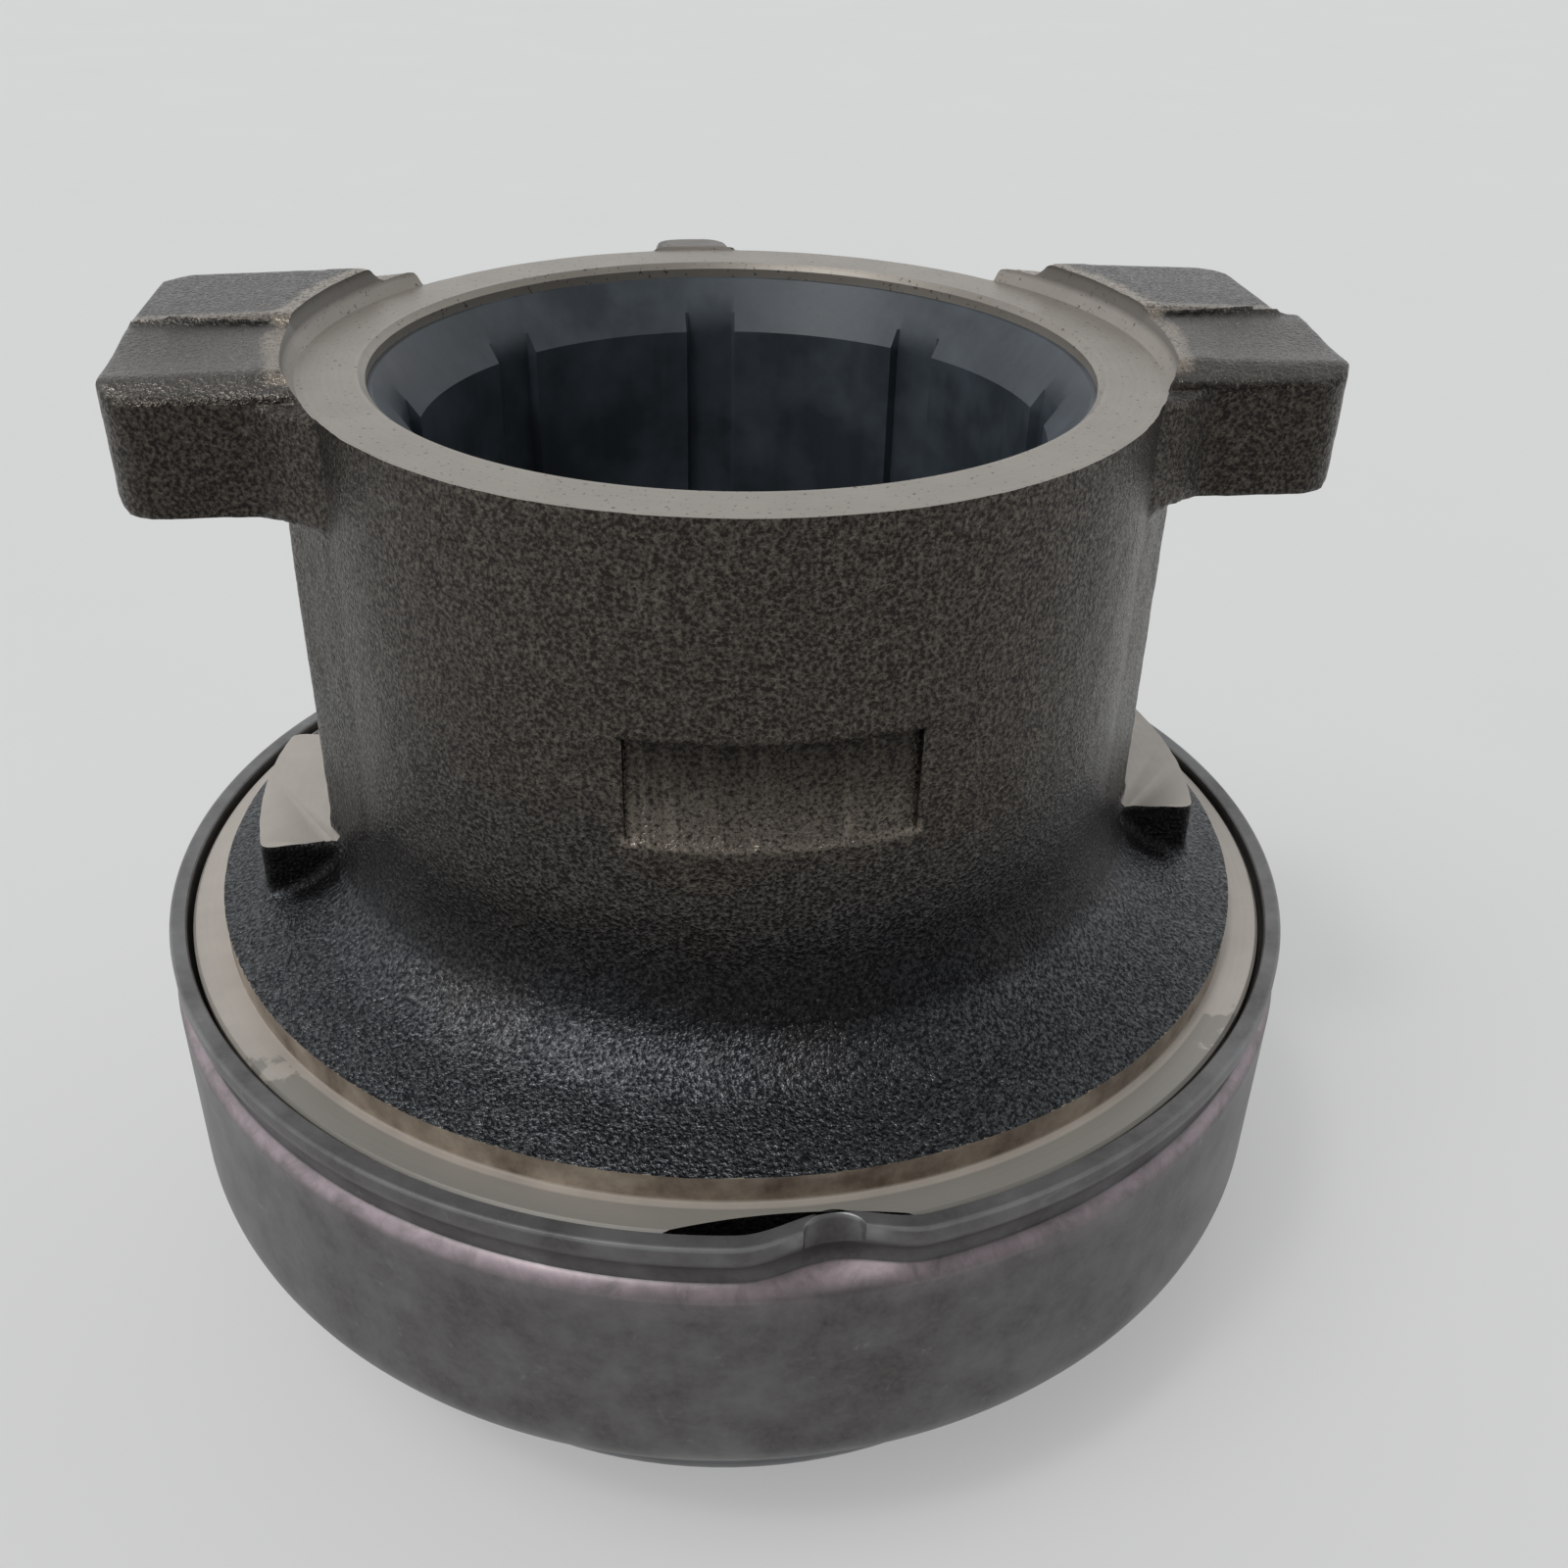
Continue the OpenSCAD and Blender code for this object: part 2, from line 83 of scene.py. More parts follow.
def turned(name, profile, turns=240, span=None):
    """Closed solid of revolution, full or over a span of degrees. A point on the axis becomes a pole."""
    start, end = span or (0, 360)
    count = turns + 1 if span else turns
    turn_at = np.radians(start + np.arange(count) * (end - start) / turns)
    shape = bmesh.new()
    rings = []
    for r, z in profile:
        angles = turn_at[:1] if r == 0 else turn_at
        rings.append([shape.verts.new((r * math.cos(a) * MM, r * math.sin(a) * MM, z * MM)) for a in angles])
    for low, high in zip(rings, rings[1:] + rings[:1]):
        for i in range(turns):
            corners = [low[i % len(low)], low[(i + 1) % len(low)], high[(i + 1) % len(high)], high[i % len(high)]]
            corners = list(dict.fromkeys(corners))
            if len(corners) > 2:
                shape.faces.new(corners)
    if span:
        shape.faces.new([ring[0] for ring in rings])
        shape.faces.new([ring[-1] for ring in rings])
    bmesh.ops.recalc_face_normals(shape, faces=shape.faces)
    mesh = bpy.data.meshes.new(name)
    shape.to_mesh(mesh)
    shape.free()
    return mesh


def prism(name, plan, low, high):
    """Upright solid on a plan of (x, y) corners."""
    count = len(plan)
    points = [(x, y, level) for level in (low, high) for x, y in plan]
    faces = [tuple(range(count)), tuple(range(count, 2 * count))]
    faces += [(i, (i + 1) % count, count + (i + 1) % count, count + i) for i in range(count)]
    mesh = mesh_of(name, points, faces)
    shape = bmesh.new()
    shape.from_mesh(mesh)
    bmesh.ops.recalc_face_normals(shape, faces=shape.faces)
    shape.to_mesh(mesh)
    shape.free()
    return mesh


def arc(cx, cz, r, start, end, steps=10):
    angles = np.radians(np.linspace(start, end, steps + 1))
    return [(cx + r * math.cos(a), cz + r * math.sin(a)) for a in angles]


def ease(value, low, high):
    """Smooth step from 0 at low to 1 at high."""
    t = np.clip((np.asarray(value, float) - low) / (high - low), 0, 1)
    return t * t * (3 - 2 * t)


print("ease at a quarter of the way:", float(ease(0.25, 0, 1)))

# %% [markdown]
# ## Helpers for materials
# Colours are written as sRGB hex codes, the way a colour picker shows them, and one function turns them to
# the linear values that shaders want. One more function adds a node, gives it its settings and links its
# inputs, for shaders and for Geometry Nodes alike. A pattern's scale is the number of its cells in a metre,
# so `per(0.8)` stands for cells of 0.8 mm.

# %% Material helpers
def colour(code):
    channels = [int(code[i:i + 2], 16) / 255 for i in (1, 3, 5)]
    return [c / 12.92 if c <= 0.04045 else ((c + 0.055) / 1.055) ** 2.4 for c in channels] + [1.0]


def per(size_mm):
    return 1 / (size_mm * MM)


def add(tree, kind, inputs=None, **settings):
    node = tree.nodes.new(kind)
    for name, value in settings.items():
        setattr(node, name, value)
    for name, value in (inputs or {}).items():
        if isinstance(value, bpy.types.Node):
            value = value.outputs[0]
        if isinstance(value, bpy.types.NodeSocket):
            tree.links.new(value, node.inputs[name])
        else:
            node.inputs[name].default_value = value
    return node


def new_material(name):
    material = bpy.data.materials.new(name)
    material.use_nodes = True
    tree = material.node_tree
    tree.nodes.clear()
    place = add(tree, "ShaderNodeTexCoord").outputs["Object"]
    return material, tree, place


def finish_material(tree, shader):
    add(tree, "ShaderNodeOutputMaterial", {"Surface": shader})


print("mid grey in linear light:", round(colour("#808080")[0], 3))

# %% [markdown]
# ## Sand-cast iron
# The sleeve is grey iron poured in a sand mould and shot blasted. The sand leaves a skin of small grains: their
# crowns are rubbed to a dull grey and glint, and the pits between them hold dark scale. Round domes from a
# Voronoi pattern would look like granite, so a plain fine noise gives both the tone and the bump. The scale is
# brown on the barrel and blue-black on the flare, with a slow noise for the border, and the fillet between them
# is darkened as painted shade. Three attributes of the mesh say where the skin is scraped bare, with a painted
# highlight on the panel's ledge, where it is blasted paler, and where shade is painted into it.

# %% Sand-cast iron
SAND = 0.38               # moulding sand is nearer 0.2 mm, and is drawn coarser so that it shows
BROWN_Z, BLUE_Z, DRIFT = 95, 70, 40
FILLET_SHADE_LOW, FILLET_SHADE_FULL, FILLET_SHADE_FADE, FILLET_SHADE_END = 52.0, 53.6, 57, 64

cast_iron, tree, place = new_material("sand_cast_iron")
grain = add(tree, "ShaderNodeTexNoise", {"Vector": place, "Scale": per(SAND), "Detail": 2.0, "Roughness": 0.6})
height = grain.outputs["Fac"]
scale_film = add(tree, "ShaderNodeTexNoise", {"Vector": place, "Scale": per(17), "Detail": 4.0, "Roughness": 0.6})
# This attribute marks scraped faces, and a painted highlight on the panel's lower ledge.
scraped = add(tree, "ShaderNodeAttribute", attribute_name="scraped").outputs["Fac"]
# This attribute is painted shade on the parting step, the pads' walls, the ears' fronts and the panel's top edge.
crevice = add(tree, "ShaderNodeAttribute", attribute_name="crevice").outputs["Fac"]
blasted = add(tree, "ShaderNodeAttribute", attribute_name="blasted").outputs["Fac"]
axes = add(tree, "ShaderNodeSeparateXYZ", {0: place})
drift = add(tree, "ShaderNodeMath", {0: scale_film.outputs["Fac"], 1: DRIFT * MM, 2: axes.outputs["Z"]},
            operation="MULTIPLY_ADD")
film = add(tree, "ShaderNodeMapRange", {"Value": drift, "From Min": BROWN_Z * MM, "From Max": BLUE_Z * MM})
# Painted shade: a dark band lies over the fillet between the barrel and the flare and fades out up the barrel.
fillet_shade_low = add(tree, "ShaderNodeMapRange", {"Value": axes.outputs["Z"], "From Min": FILLET_SHADE_LOW * MM,
                                           "From Max": FILLET_SHADE_FULL * MM})
fillet_shade_high = add(tree, "ShaderNodeMapRange", {"Value": axes.outputs["Z"], "From Min": FILLET_SHADE_END * MM,
                                            "From Max": FILLET_SHADE_FADE * MM, "To Max": 0.62})
fillet_shade = add(tree, "ShaderNodeMath", {0: fillet_shade_low, 1: fillet_shade_high}, operation="MULTIPLY")
pit = add(tree, "ShaderNodeMix", {0: film, 6: colour("#2f2b28"), 7: colour("#222427")}, data_type="RGBA")
crown = add(tree, "ShaderNodeMix", {0: film, 6: colour("#69635b"), 7: colour("#626466")}, data_type="RGBA")
tone = add(tree, "ShaderNodeMapRange", {"Value": height, "From Min": 0.4, "From Max": 0.72})
skin = add(tree, "ShaderNodeMix", {0: tone, 6: pit.outputs[2], 7: crown.outputs[2]}, data_type="RGBA")
patches = add(tree, "ShaderNodeMapRange", {"Value": height, "From Min": 0.3, "From Max": 0.5})
patchy = add(tree, "ShaderNodeMath", {0: patches, 1: scraped}, operation="MULTIPLY")
paler = add(tree, "ShaderNodeMix", {0: blasted, 6: skin.outputs[2], 7: colour("#64615d")}, data_type="RGBA")
tanned = add(tree, "ShaderNodeMix", {0: patchy, 6: paler.outputs[2], 7: colour("#958b7f")}, data_type="RGBA")
fillet_shaded = add(tree, "ShaderNodeMix", {0: fillet_shade, 6: tanned.outputs[2], 7: colour("#131212")}, data_type="RGBA")
shaded = add(tree, "ShaderNodeMix", {0: crevice, 6: fillet_shaded.outputs[2], 7: colour("#100e0d")}, data_type="RGBA")
gloss = add(tree, "ShaderNodeMapRange", {"Value": height, "From Min": 0.3, "From Max": 0.7,
                                        "To Min": 0.4, "To Max": 0.24})
relief = add(tree, "ShaderNodeBump", {"Height": height, "Strength": 1.0, "Distance": 0.2 * MM})
shader = add(tree, "ShaderNodeBsdfPrincipled", {"Base Color": shaded.outputs[2], "Roughness": gloss,
                                               "Metallic": 0.92, "Normal": relief})
finish_material(tree, shader)
print("made", cast_iron.name)

# %% [markdown]
# ## Turned iron
# The rim, the ring, the pads and the bore are cut on a lathe after casting. The tool leaves fine circles round
# the axis and a bright warm grey, with dark flecks on the rim where graphite tore out. Oil lies on the front of
# the ring as a grey patch with a clear edge, the wall of the step above it is stained brown, and the leaning
# wall where the rim's cut meets the ears is drawn dark brown. The circles come from the distance to the axis, so
# they stay round on every face, and the places of the stains come from that distance and the height.

# %% Turned iron
FEED = 0.35               # the tool's feed is nearer 0.15 mm, and is drawn coarser so that it shows
OIL_Y, OIL_EDGE, OIL_SPREAD = -21.5, -22.5, 24
RING_HIGH, RIM_ABOVE, BAND_R, STAIN_R, LIP_R = 52, 90, 54.7, 54.2, 40.7
STAIN_LOW, STAIN_FULL = 44.55, 44.85

turned_iron, tree, place = new_material("turned_grey_iron")
flat = add(tree, "ShaderNodeVectorMath", {0: place, 1: (1.0, 1.0, 0.0)}, operation="MULTIPLY")
from_axis = add(tree, "ShaderNodeVectorMath", {0: flat}, operation="LENGTH")
lines = add(tree, "ShaderNodeTexNoise", {"W": from_axis.outputs["Value"], "Scale": per(FEED), "Detail": 3.0},
            noise_dimensions="1D")
mottle = add(tree, "ShaderNodeTexNoise", {"Vector": place, "Scale": per(6), "Detail": 5.0, "Roughness": 0.65})
flecks = add(tree, "ShaderNodeTexNoise", {"Vector": place, "Scale": per(0.5), "Detail": 2.0})
cloudy = add(tree, "ShaderNodeMapRange", {"Value": mottle.outputs["Fac"], "From Min": 0.35, "From Max": 0.65})
torn = add(tree, "ShaderNodeMapRange", {"Value": flecks.outputs["Fac"], "From Min": 0.64, "From Max": 0.72})
axes = add(tree, "ShaderNodeSeparateXYZ", {0: place})
oil_edge = add(tree, "ShaderNodeMath", {0: mottle.outputs["Fac"], 1: OIL_SPREAD * MM, 2: axes.outputs["Y"]},
               operation="MULTIPLY_ADD")
oil_front = add(tree, "ShaderNodeMapRange", {"Value": oil_edge, "From Min": OIL_Y * MM, "From Max": OIL_EDGE * MM})
on_ring = add(tree, "ShaderNodeMath", {0: axes.outputs["Z"], 1: RING_HIGH * MM}, operation="LESS_THAN")
off_step = add(tree, "ShaderNodeMapRange", {"Value": from_axis.outputs["Value"], "From Min": BAND_R * MM,
                                           "From Max": (BAND_R + 0.2) * MM, "To Max": 0.9})
oil_patch = add(tree, "ShaderNodeMath", {0: oil_front, 1: on_ring}, operation="MULTIPLY")
oil = add(tree, "ShaderNodeMath", {0: oil_patch, 1: off_step}, operation="MULTIPLY")
# The ring and pads are drawn lighter than the rim: partly a paler finish, partly painted light that stands in for
# the light the barrel and ears shade from them.
low_down = add(tree, "ShaderNodeMix", {0: mottle.outputs["Fac"], 6: colour("#aca49b"), 7: colour("#c8c1b8")},
               data_type="RGBA")
high_up = add(tree, "ShaderNodeMix", {0: mottle.outputs["Fac"], 6: colour("#857e75"), 7: colour("#9d978e")},
              data_type="RGBA")
at_rim = add(tree, "ShaderNodeMath", {0: axes.outputs["Z"], 1: RIM_ABOVE * MM}, operation="GREATER_THAN")
clean = add(tree, "ShaderNodeMix", {0: at_rim, 6: low_down.outputs[2], 7: high_up.outputs[2]}, data_type="RGBA")
oiled = add(tree, "ShaderNodeMix", {0: oil, 6: clean.outputs[2], 7: colour("#94918a")}, data_type="RGBA")
low_part = add(tree, "ShaderNodeMapRange", {"Value": axes.outputs["Z"], "From Min": STAIN_LOW * MM,
                                           "From Max": STAIN_FULL * MM})
on_wall = add(tree, "ShaderNodeMath", {0: low_part, 1: on_ring}, operation="MULTIPLY")
by_wall = add(tree, "ShaderNodeMath", {0: from_axis.outputs["Value"], 1: STAIN_R * MM}, operation="LESS_THAN")
walled = add(tree, "ShaderNodeMath", {0: on_wall, 1: by_wall}, operation="MULTIPLY")
stain = add(tree, "ShaderNodeMix", {0: cloudy, 6: colour("#66574a"), 7: colour("#a79a8a")}, data_type="RGBA")
stained = add(tree, "ShaderNodeMix", {0: walled, 6: oiled.outputs[2], 7: stain.outputs[2]}, data_type="RGBA")
lip_part = add(tree, "ShaderNodeMapRange", {"Value": from_axis.outputs["Value"], "From Min": LIP_R * MM,
                                           "From Max": (LIP_R + 0.3) * MM, "To Max": 0.65})
lip = add(tree, "ShaderNodeMath", {0: lip_part, 1: at_rim}, operation="MULTIPLY")
browned = add(tree, "ShaderNodeMix", {0: lip, 6: stained.outputs[2], 7: colour("#3a352f")}, data_type="RGBA")
fleck = add(tree, "ShaderNodeMath", {0: torn, 1: at_rim}, operation="MULTIPLY")
dotted = add(tree, "ShaderNodeMix", {0: fleck, 6: browned.outputs[2], 7: colour("#4d4943")}, data_type="RGBA")
gloss = add(tree, "ShaderNodeMapRange", {"Value": lines.outputs["Fac"], "To Min": 0.3, "To Max": 0.52})
relief = add(tree, "ShaderNodeBump", {"Height": lines.outputs["Fac"], "Strength": 0.25, "Distance": 0.03 * MM})
shader = add(tree, "ShaderNodeBsdfPrincipled", {"Base Color": dotted.outputs[2], "Roughness": gloss,
                                               "Metallic": 0.35, "Normal": relief})
finish_material(tree, shader)
print("made", turned_iron.name)

# %% [markdown]
# ## The cast sleeve, first the blank
# A foundry pours a blank that is too big wherever a lathe will cut, and this piece is made in the same order.
# The CAD solid gives the ears, flats, pads and lug. A lathed body with smooth flanks fills the bore and adds
# stock at the rim and flange. Prisms add stock at the ears and pads, the small wedges at the roots of the ears
# and the thin webs that run the flats into the barrel. A voxel remesh welds all of them into one even skin with
# soft corners, as a sand mould leaves them.

# %% Blank of the sleeve
RIM_Z, RING_Z, FLANGE_Z, PAD_Z, EAR_TOP_Z = 100.0, 44.5, 37.0, 54.25, 102.0
BARREL_R, BORE_R, STEP_R, FLANGE_R = 40.0, 34.0, 54.05, 57.55
STEP_Z, FLARE_FILLET, FLARE_SLOPE = 47.25, 11.0, 15.0
EAR_FRONT, EAR_PARTING, EAR_REAR, EAR_UNDER = -11.9, 4.7, 21.9, 89.6
STOCK = 1.0
GRID = 0.55

slope = math.tan(math.radians(FLARE_SLOPE))
fillet_end = 90 - FLARE_SLOPE
cone_r = BARREL_R + FLARE_FILLET * (1 - math.cos(math.radians(fillet_end)))
cone_z = STEP_Z + (STEP_R - cone_r) * slope
fillet_z = cone_z + FLARE_FILLET * math.sin(math.radians(fillet_end))
edge_r = FLANGE_R + STOCK
edge_z = cone_z - (edge_r - cone_r) * slope
body = turned("body_stock", [(0, FLANGE_Z - STOCK), (edge_r, FLANGE_Z - STOCK), (edge_r, edge_z)]
              + arc(BARREL_R + FLARE_FILLET, fillet_z, FLARE_FILLET, 180 + fillet_end, 180, 24)
              + [(BARREL_R, RIM_Z + STOCK), (0, RIM_Z + STOCK)], turns=360)

blank = bmesh.new()
blank.from_mesh(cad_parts["release_sleeve"].data)
bmesh.ops.remove_doubles(blank, verts=blank.verts, dist=1e-6)
blank.from_mesh(body)
# Each stock has the corners of its plan at the right-hand ear, its bottom and its top.
stock_plans = {
    "ear_front": ([(33, EAR_FRONT + 0.5), (43, EAR_FRONT + 0.5), (43, EAR_PARTING), (33, EAR_PARTING)], 92, 101.8),
    "ear_rear": ([(33, EAR_PARTING - 0.1), (43, EAR_PARTING - 0.1), (43, EAR_REAR - 0.5), (33, EAR_REAR - 0.5)],
                 92, 102.8),
    "root_front": ([(36, -13), (37.3, -15.9), (43, EAR_FRONT), (44, -10)], EAR_UNDER, 99.7),
    "root_rear": ([(40, 19), (42, EAR_REAR - 0.1), (31.5, 26.4), (30, 24)], EAR_UNDER, 101.4),
    "flat_web": ([(36, -14.5), (36.9, -15.8), (41.7, -7.9), (41.7, 7.9), (36.9, 15.8), (36, 14.5)], 53, 91),
}
for side in (-1, 1):
    for name, (plan, bottom, top) in stock_plans.items():
        blank.from_mesh(prism(name, [(side * x, y) for x, y in plan], bottom, top))
    middle = 90 - 90 * side
    blank.from_mesh(turned("pad_stock", [(43.5, 50), (49.5, 50), (49.5, PAD_Z + STOCK), (43.5, PAD_Z + STOCK)],
                           turns=24, span=(middle - 13, middle + 13)))
mesh = bpy.data.meshes.new("cast_sleeve")
blank.to_mesh(mesh)
blank.free()
sleeve = made_object("cast_sleeve", mesh)
weld = sleeve.modifiers.new("weld", "REMESH")
weld.mode = "VOXEL"
weld.voxel_size = GRID * MM
soften = sleeve.modifiers.new("soften", "SMOOTH")
soften.factor = 0.5
soften.iterations = 3
frozen(sleeve)
print("blank of the sleeve:", len(sleeve.data.polygons), "faces")

# %% [markdown]
# ## Ear tops, panel and pit
# The front tops of the ears rise a little towards the parting line and fall off at their front edge, and one
# pit sits beside the panel. Both are made by moving points of the skin, which is quicker than new stock. The
# bare sunken panel on the front of the barrel is cut later, by a tool whose corners are shaken up and down from
# a fixed seed, so that its edges are as ragged as sand leaves them.

# %% Ear tops, panel and pit
def points_of(mesh):
    flat_list = np.zeros(len(mesh.vertices) * 3)
    mesh.vertices.foreach_get("co", flat_list)
    return flat_list.reshape(-1, 3) / MM


def set_points(mesh, points):
    mesh.vertices.foreach_set("co", (points * MM).ravel())
    mesh.update()


points = points_of(sleeve.data)
radius = np.hypot(points[:, 0], points[:, 1])
angle = np.degrees(np.arctan2(points[:, 1], points[:, 0]))
z = points[:, 2]
PIT_TURN, PIT_Z, PIT_DEEP, PIT_WIDE = -114, 77.3, 0.5, 0.55
pit_far = np.hypot((angle - PIT_TURN) * BARREL_R * math.pi / 180, z - PIT_Z)
sink = np.where((radius > 38.5) & (radius < 40.8), PIT_DEEP * np.exp(-(pit_far / PIT_WIDE) ** 2), 0)
points[:, :2] *= (1 - sink / np.maximum(radius, 1))[:, None]

out_x, y = np.abs(points[:, 0]), points[:, 1]
on_top = ease(z, EAR_TOP_Z - 2.0, EAR_TOP_Z - 1.3) * ease(radius, 40.2, 40.9) * (y < EAR_PARTING - 0.1)
ramp = (0.35 + 0.45 * ease(out_x, 44, 55)) * ease(y, -7, EAR_PARTING)
FRONT_DROP = 1.3
points[:, 2] += on_top * (ramp - FRONT_DROP * ease(-y, 8.3, 12.2))
set_points(sleeve.data, points)

PANEL_LOW, PANEL_TOP, PANEL_DEEP = 71.2, 80.5, 0.5
panel_tool = turned("panel_tool", [(BARREL_R - PANEL_DEEP, PANEL_LOW), (BARREL_R + 2, PANEL_LOW - 3.2),
                                   (BARREL_R + 2, PANEL_TOP + 0.8), (BARREL_R - PANEL_DEEP, PANEL_TOP)],
                    turns=60, span=(-108, -72))
SHAKE = 0.09
ragged = np.random.default_rng(4).normal(0, SHAKE, (len(panel_tool.vertices), 3))
set_points(panel_tool, points_of(panel_tool) + ragged * (0.12, 0.12, 1.0))
print("pit moved", int((sink > 0.02).sum()), "points; panel tool has", len(panel_tool.vertices))

# %% [markdown]
# ## The sand skin
# The mould's sand gives the skin its lumps. Geometry Nodes push each point along its normal by two noises, one
# for grains and one for broader lumps, and an attribute says how rough each area is: the rear tops of the ears
# were poured against a smoother core, and the front edges are the roughest. The finest grain is left to the
# material, because it is smaller than the skin's own mesh.

# %% Sand skin
front_edge = ease(-points[:, 1], 8.0, 9.5) * (1 - ease(-points[:, 1], 12.2, 13.0))
ear_top = ease(z, 100.5, 101.2) * ease(radius, 41, 42)
rough = 1 - ear_top * np.where(points[:, 1] > EAR_PARTING, 0.75, 0.5) + 1.3 * ear_top * front_edge
attribute = sleeve.data.attributes.new("rough", "FLOAT", "POINT")
attribute.data.foreach_set("value", rough.astype(np.float32))

skin_tree = bpy.data.node_groups.new("sand_skin", "GeometryNodeTree")
sockets = skin_tree.interface
sockets.new_socket("Geometry", in_out="INPUT", socket_type="NodeSocketGeometry")
sockets.new_socket("Geometry", in_out="OUTPUT", socket_type="NodeSocketGeometry")
for name in ("Grain size", "Grain depth", "Lump size", "Lump depth"):
    sockets.new_socket(name, in_out="INPUT", socket_type="NodeSocketFloat")
sockets.new_socket("Skin", in_out="INPUT", socket_type="NodeSocketMaterial")
given = add(skin_tree, "NodeGroupInput")
heights = []
for kind in ("Grain", "Lump"):
    cells = add(skin_tree, "ShaderNodeMath", {0: 1.0, 1: given.outputs[kind + " size"]}, operation="DIVIDE")
    bumps = add(skin_tree, "ShaderNodeTexNoise", {"Scale": cells, "Detail": 1.0})
    centred = add(skin_tree, "ShaderNodeMath", {0: bumps.outputs[0], 1: 0.5}, operation="SUBTRACT")
    heights.append(add(skin_tree, "ShaderNodeMath", {0: centred, 1: given.outputs[kind + " depth"]},
                       operation="MULTIPLY"))
total = add(skin_tree, "ShaderNodeMath", {0: heights[0], 1: heights[1]}, operation="ADD")
area = add(skin_tree, "GeometryNodeInputNamedAttribute", {"Name": "rough"})
push = add(skin_tree, "ShaderNodeMath", {0: total, 1: area.outputs[0]}, operation="MULTIPLY")
normal = add(skin_tree, "GeometryNodeInputNormal")
offset = add(skin_tree, "ShaderNodeVectorMath", {0: normal, "Scale": push}, operation="SCALE")
moved = add(skin_tree, "GeometryNodeSetPosition", {"Geometry": given.outputs[0], "Offset": offset.outputs[0]})
whole = add(skin_tree, "GeometryNodeRealizeInstances", {0: moved})
coated = add(skin_tree, "GeometryNodeSetMaterial", {"Geometry": whole, "Material": given.outputs["Skin"]})
add(skin_tree, "NodeGroupOutput", {0: coated})

sand = sleeve.modifiers.new("sand", "NODES")
sand.node_group = skin_tree
wanted = {"Grain size": 1.3 * MM, "Grain depth": 0.14 * MM, "Lump size": 4.5 * MM, "Lump depth": 0.25 * MM,
          "Skin": cast_iron}
for item in skin_tree.interface.items_tree:
    if item.name in wanted:
        sand[item.identifier] = wanted[item.name]
frozen(sleeve)
print("skin pushed by", sorted(wanted))

# %% [markdown]
# ## Cutting the sleeve
# Now the lathe and the mill. Each tool is a solid of revolution or a prism that takes away the stock, so every
# cut face is exactly round or flat and meets the rough skin in a crisp, slightly ragged line, as on the real
# casting. The rim's cut leaves a leaning wall in the ears, and the last cut is the scallop in the flange that
# the cover's dent is staked into.

# %% Machining cuts
GROOVE_R, GROOVE_LOW, GROOVE_TOP = 56.9, 40.4, 43.1
WALL_R, WALL_Z = [40.15, 40.6, 41.4], [RIM_Z, RIM_Z + 0.75, RIM_Z + 2.3]
SCALLOP_R, SCALLOP_Y = 54.69, -110.14

pad_half = [(41.8, 7.9), (40.5, 10.2), (41.4, 11.6), (60, 12.4)]
pad_plan = [(x, -y) for x, y in pad_half] + pad_half[::-1]
tools = {
    "panel_tool": panel_tool,
    "flange_tool": turned("flange_tool", [
        (STEP_R, 62), (STEP_R, RING_Z), (FLANGE_R - 0.3, RING_Z), (FLANGE_R, RING_Z - 0.3),
        (FLANGE_R, GROOVE_TOP), (GROOVE_R, GROOVE_TOP), (GROOVE_R, GROOVE_LOW), (FLANGE_R, GROOVE_LOW),
        (FLANGE_R, FLANGE_Z), (0, FLANGE_Z), (0, 30), (75, 30), (75, 62)], turns=360),
    "rim_tool": turned("rim_tool", [
        (0, RIM_Z), *zip(WALL_R, WALL_Z), (WALL_R[-1], 110), (0, 110)], turns=360),
    "bore_tool": turned("bore_tool", [
        (0, 30), (BORE_R, 30), (BORE_R, RIM_Z - 0.6), (BORE_R + 0.6, RIM_Z), (BORE_R + 0.6, 101), (0, 101)]),
    "pad_tool_left": prism("pad_tool_left", [(-x, y) for x, y in pad_plan], PAD_Z, 66),
    "pad_tool_right": prism("pad_tool_right", pad_plan, PAD_Z, 66),
    "scallop_tool": turned("scallop_tool", [(0, 39), (SCALLOP_R, 39), (SCALLOP_R, 46), (0, 46)], turns=360),
}
for v in tools["scallop_tool"].vertices:
    v.co.y += SCALLOP_Y * MM
cutters = []
for name, mesh in tools.items():
    cutters.append(made_object(name, mesh))
    cut = sleeve.modifiers.new(name, "BOOLEAN")
    cut.operation = "DIFFERENCE"
    cut.solver = "MANIFOLD"
    cut.object = cutters[-1]
frozen(sleeve)
for cutter in cutters:
    bpy.data.objects.remove(cutter)
print("cut sleeve:", len(sleeve.data.polygons), "faces")

# %% [markdown]
# ## Cast and cut faces
# A face that lies on a cut takes the turned iron, and every other face keeps the sand skin. The test is the
# face's own place, so no selection by hand is needed. Points that the skin pushed out of the CAD box are
# brought back into it, because the dressed part must not be larger than the solid part.

# %% Sort the faces of the sleeve
def faces_of(mesh):
    count = len(mesh.polygons)
    middles, normals = np.zeros(count * 3), np.zeros(count * 3)
    mesh.polygons.foreach_get("center", middles)
    mesh.polygons.foreach_get("normal", normals)
    return middles.reshape(-1, 3) / MM, normals.reshape(-1, 3)


low, high = (np.array(corner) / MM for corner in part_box("release_sleeve"))
points = np.clip(points_of(sleeve.data), low, high)
set_points(sleeve.data, points)

middles, normals = faces_of(sleeve.data)
x, y, z = middles.T
r = np.hypot(x, y)
up = normals[:, 2] > 0.98


def near(value, target, gap=0.03):
    return np.abs(value - target) < gap


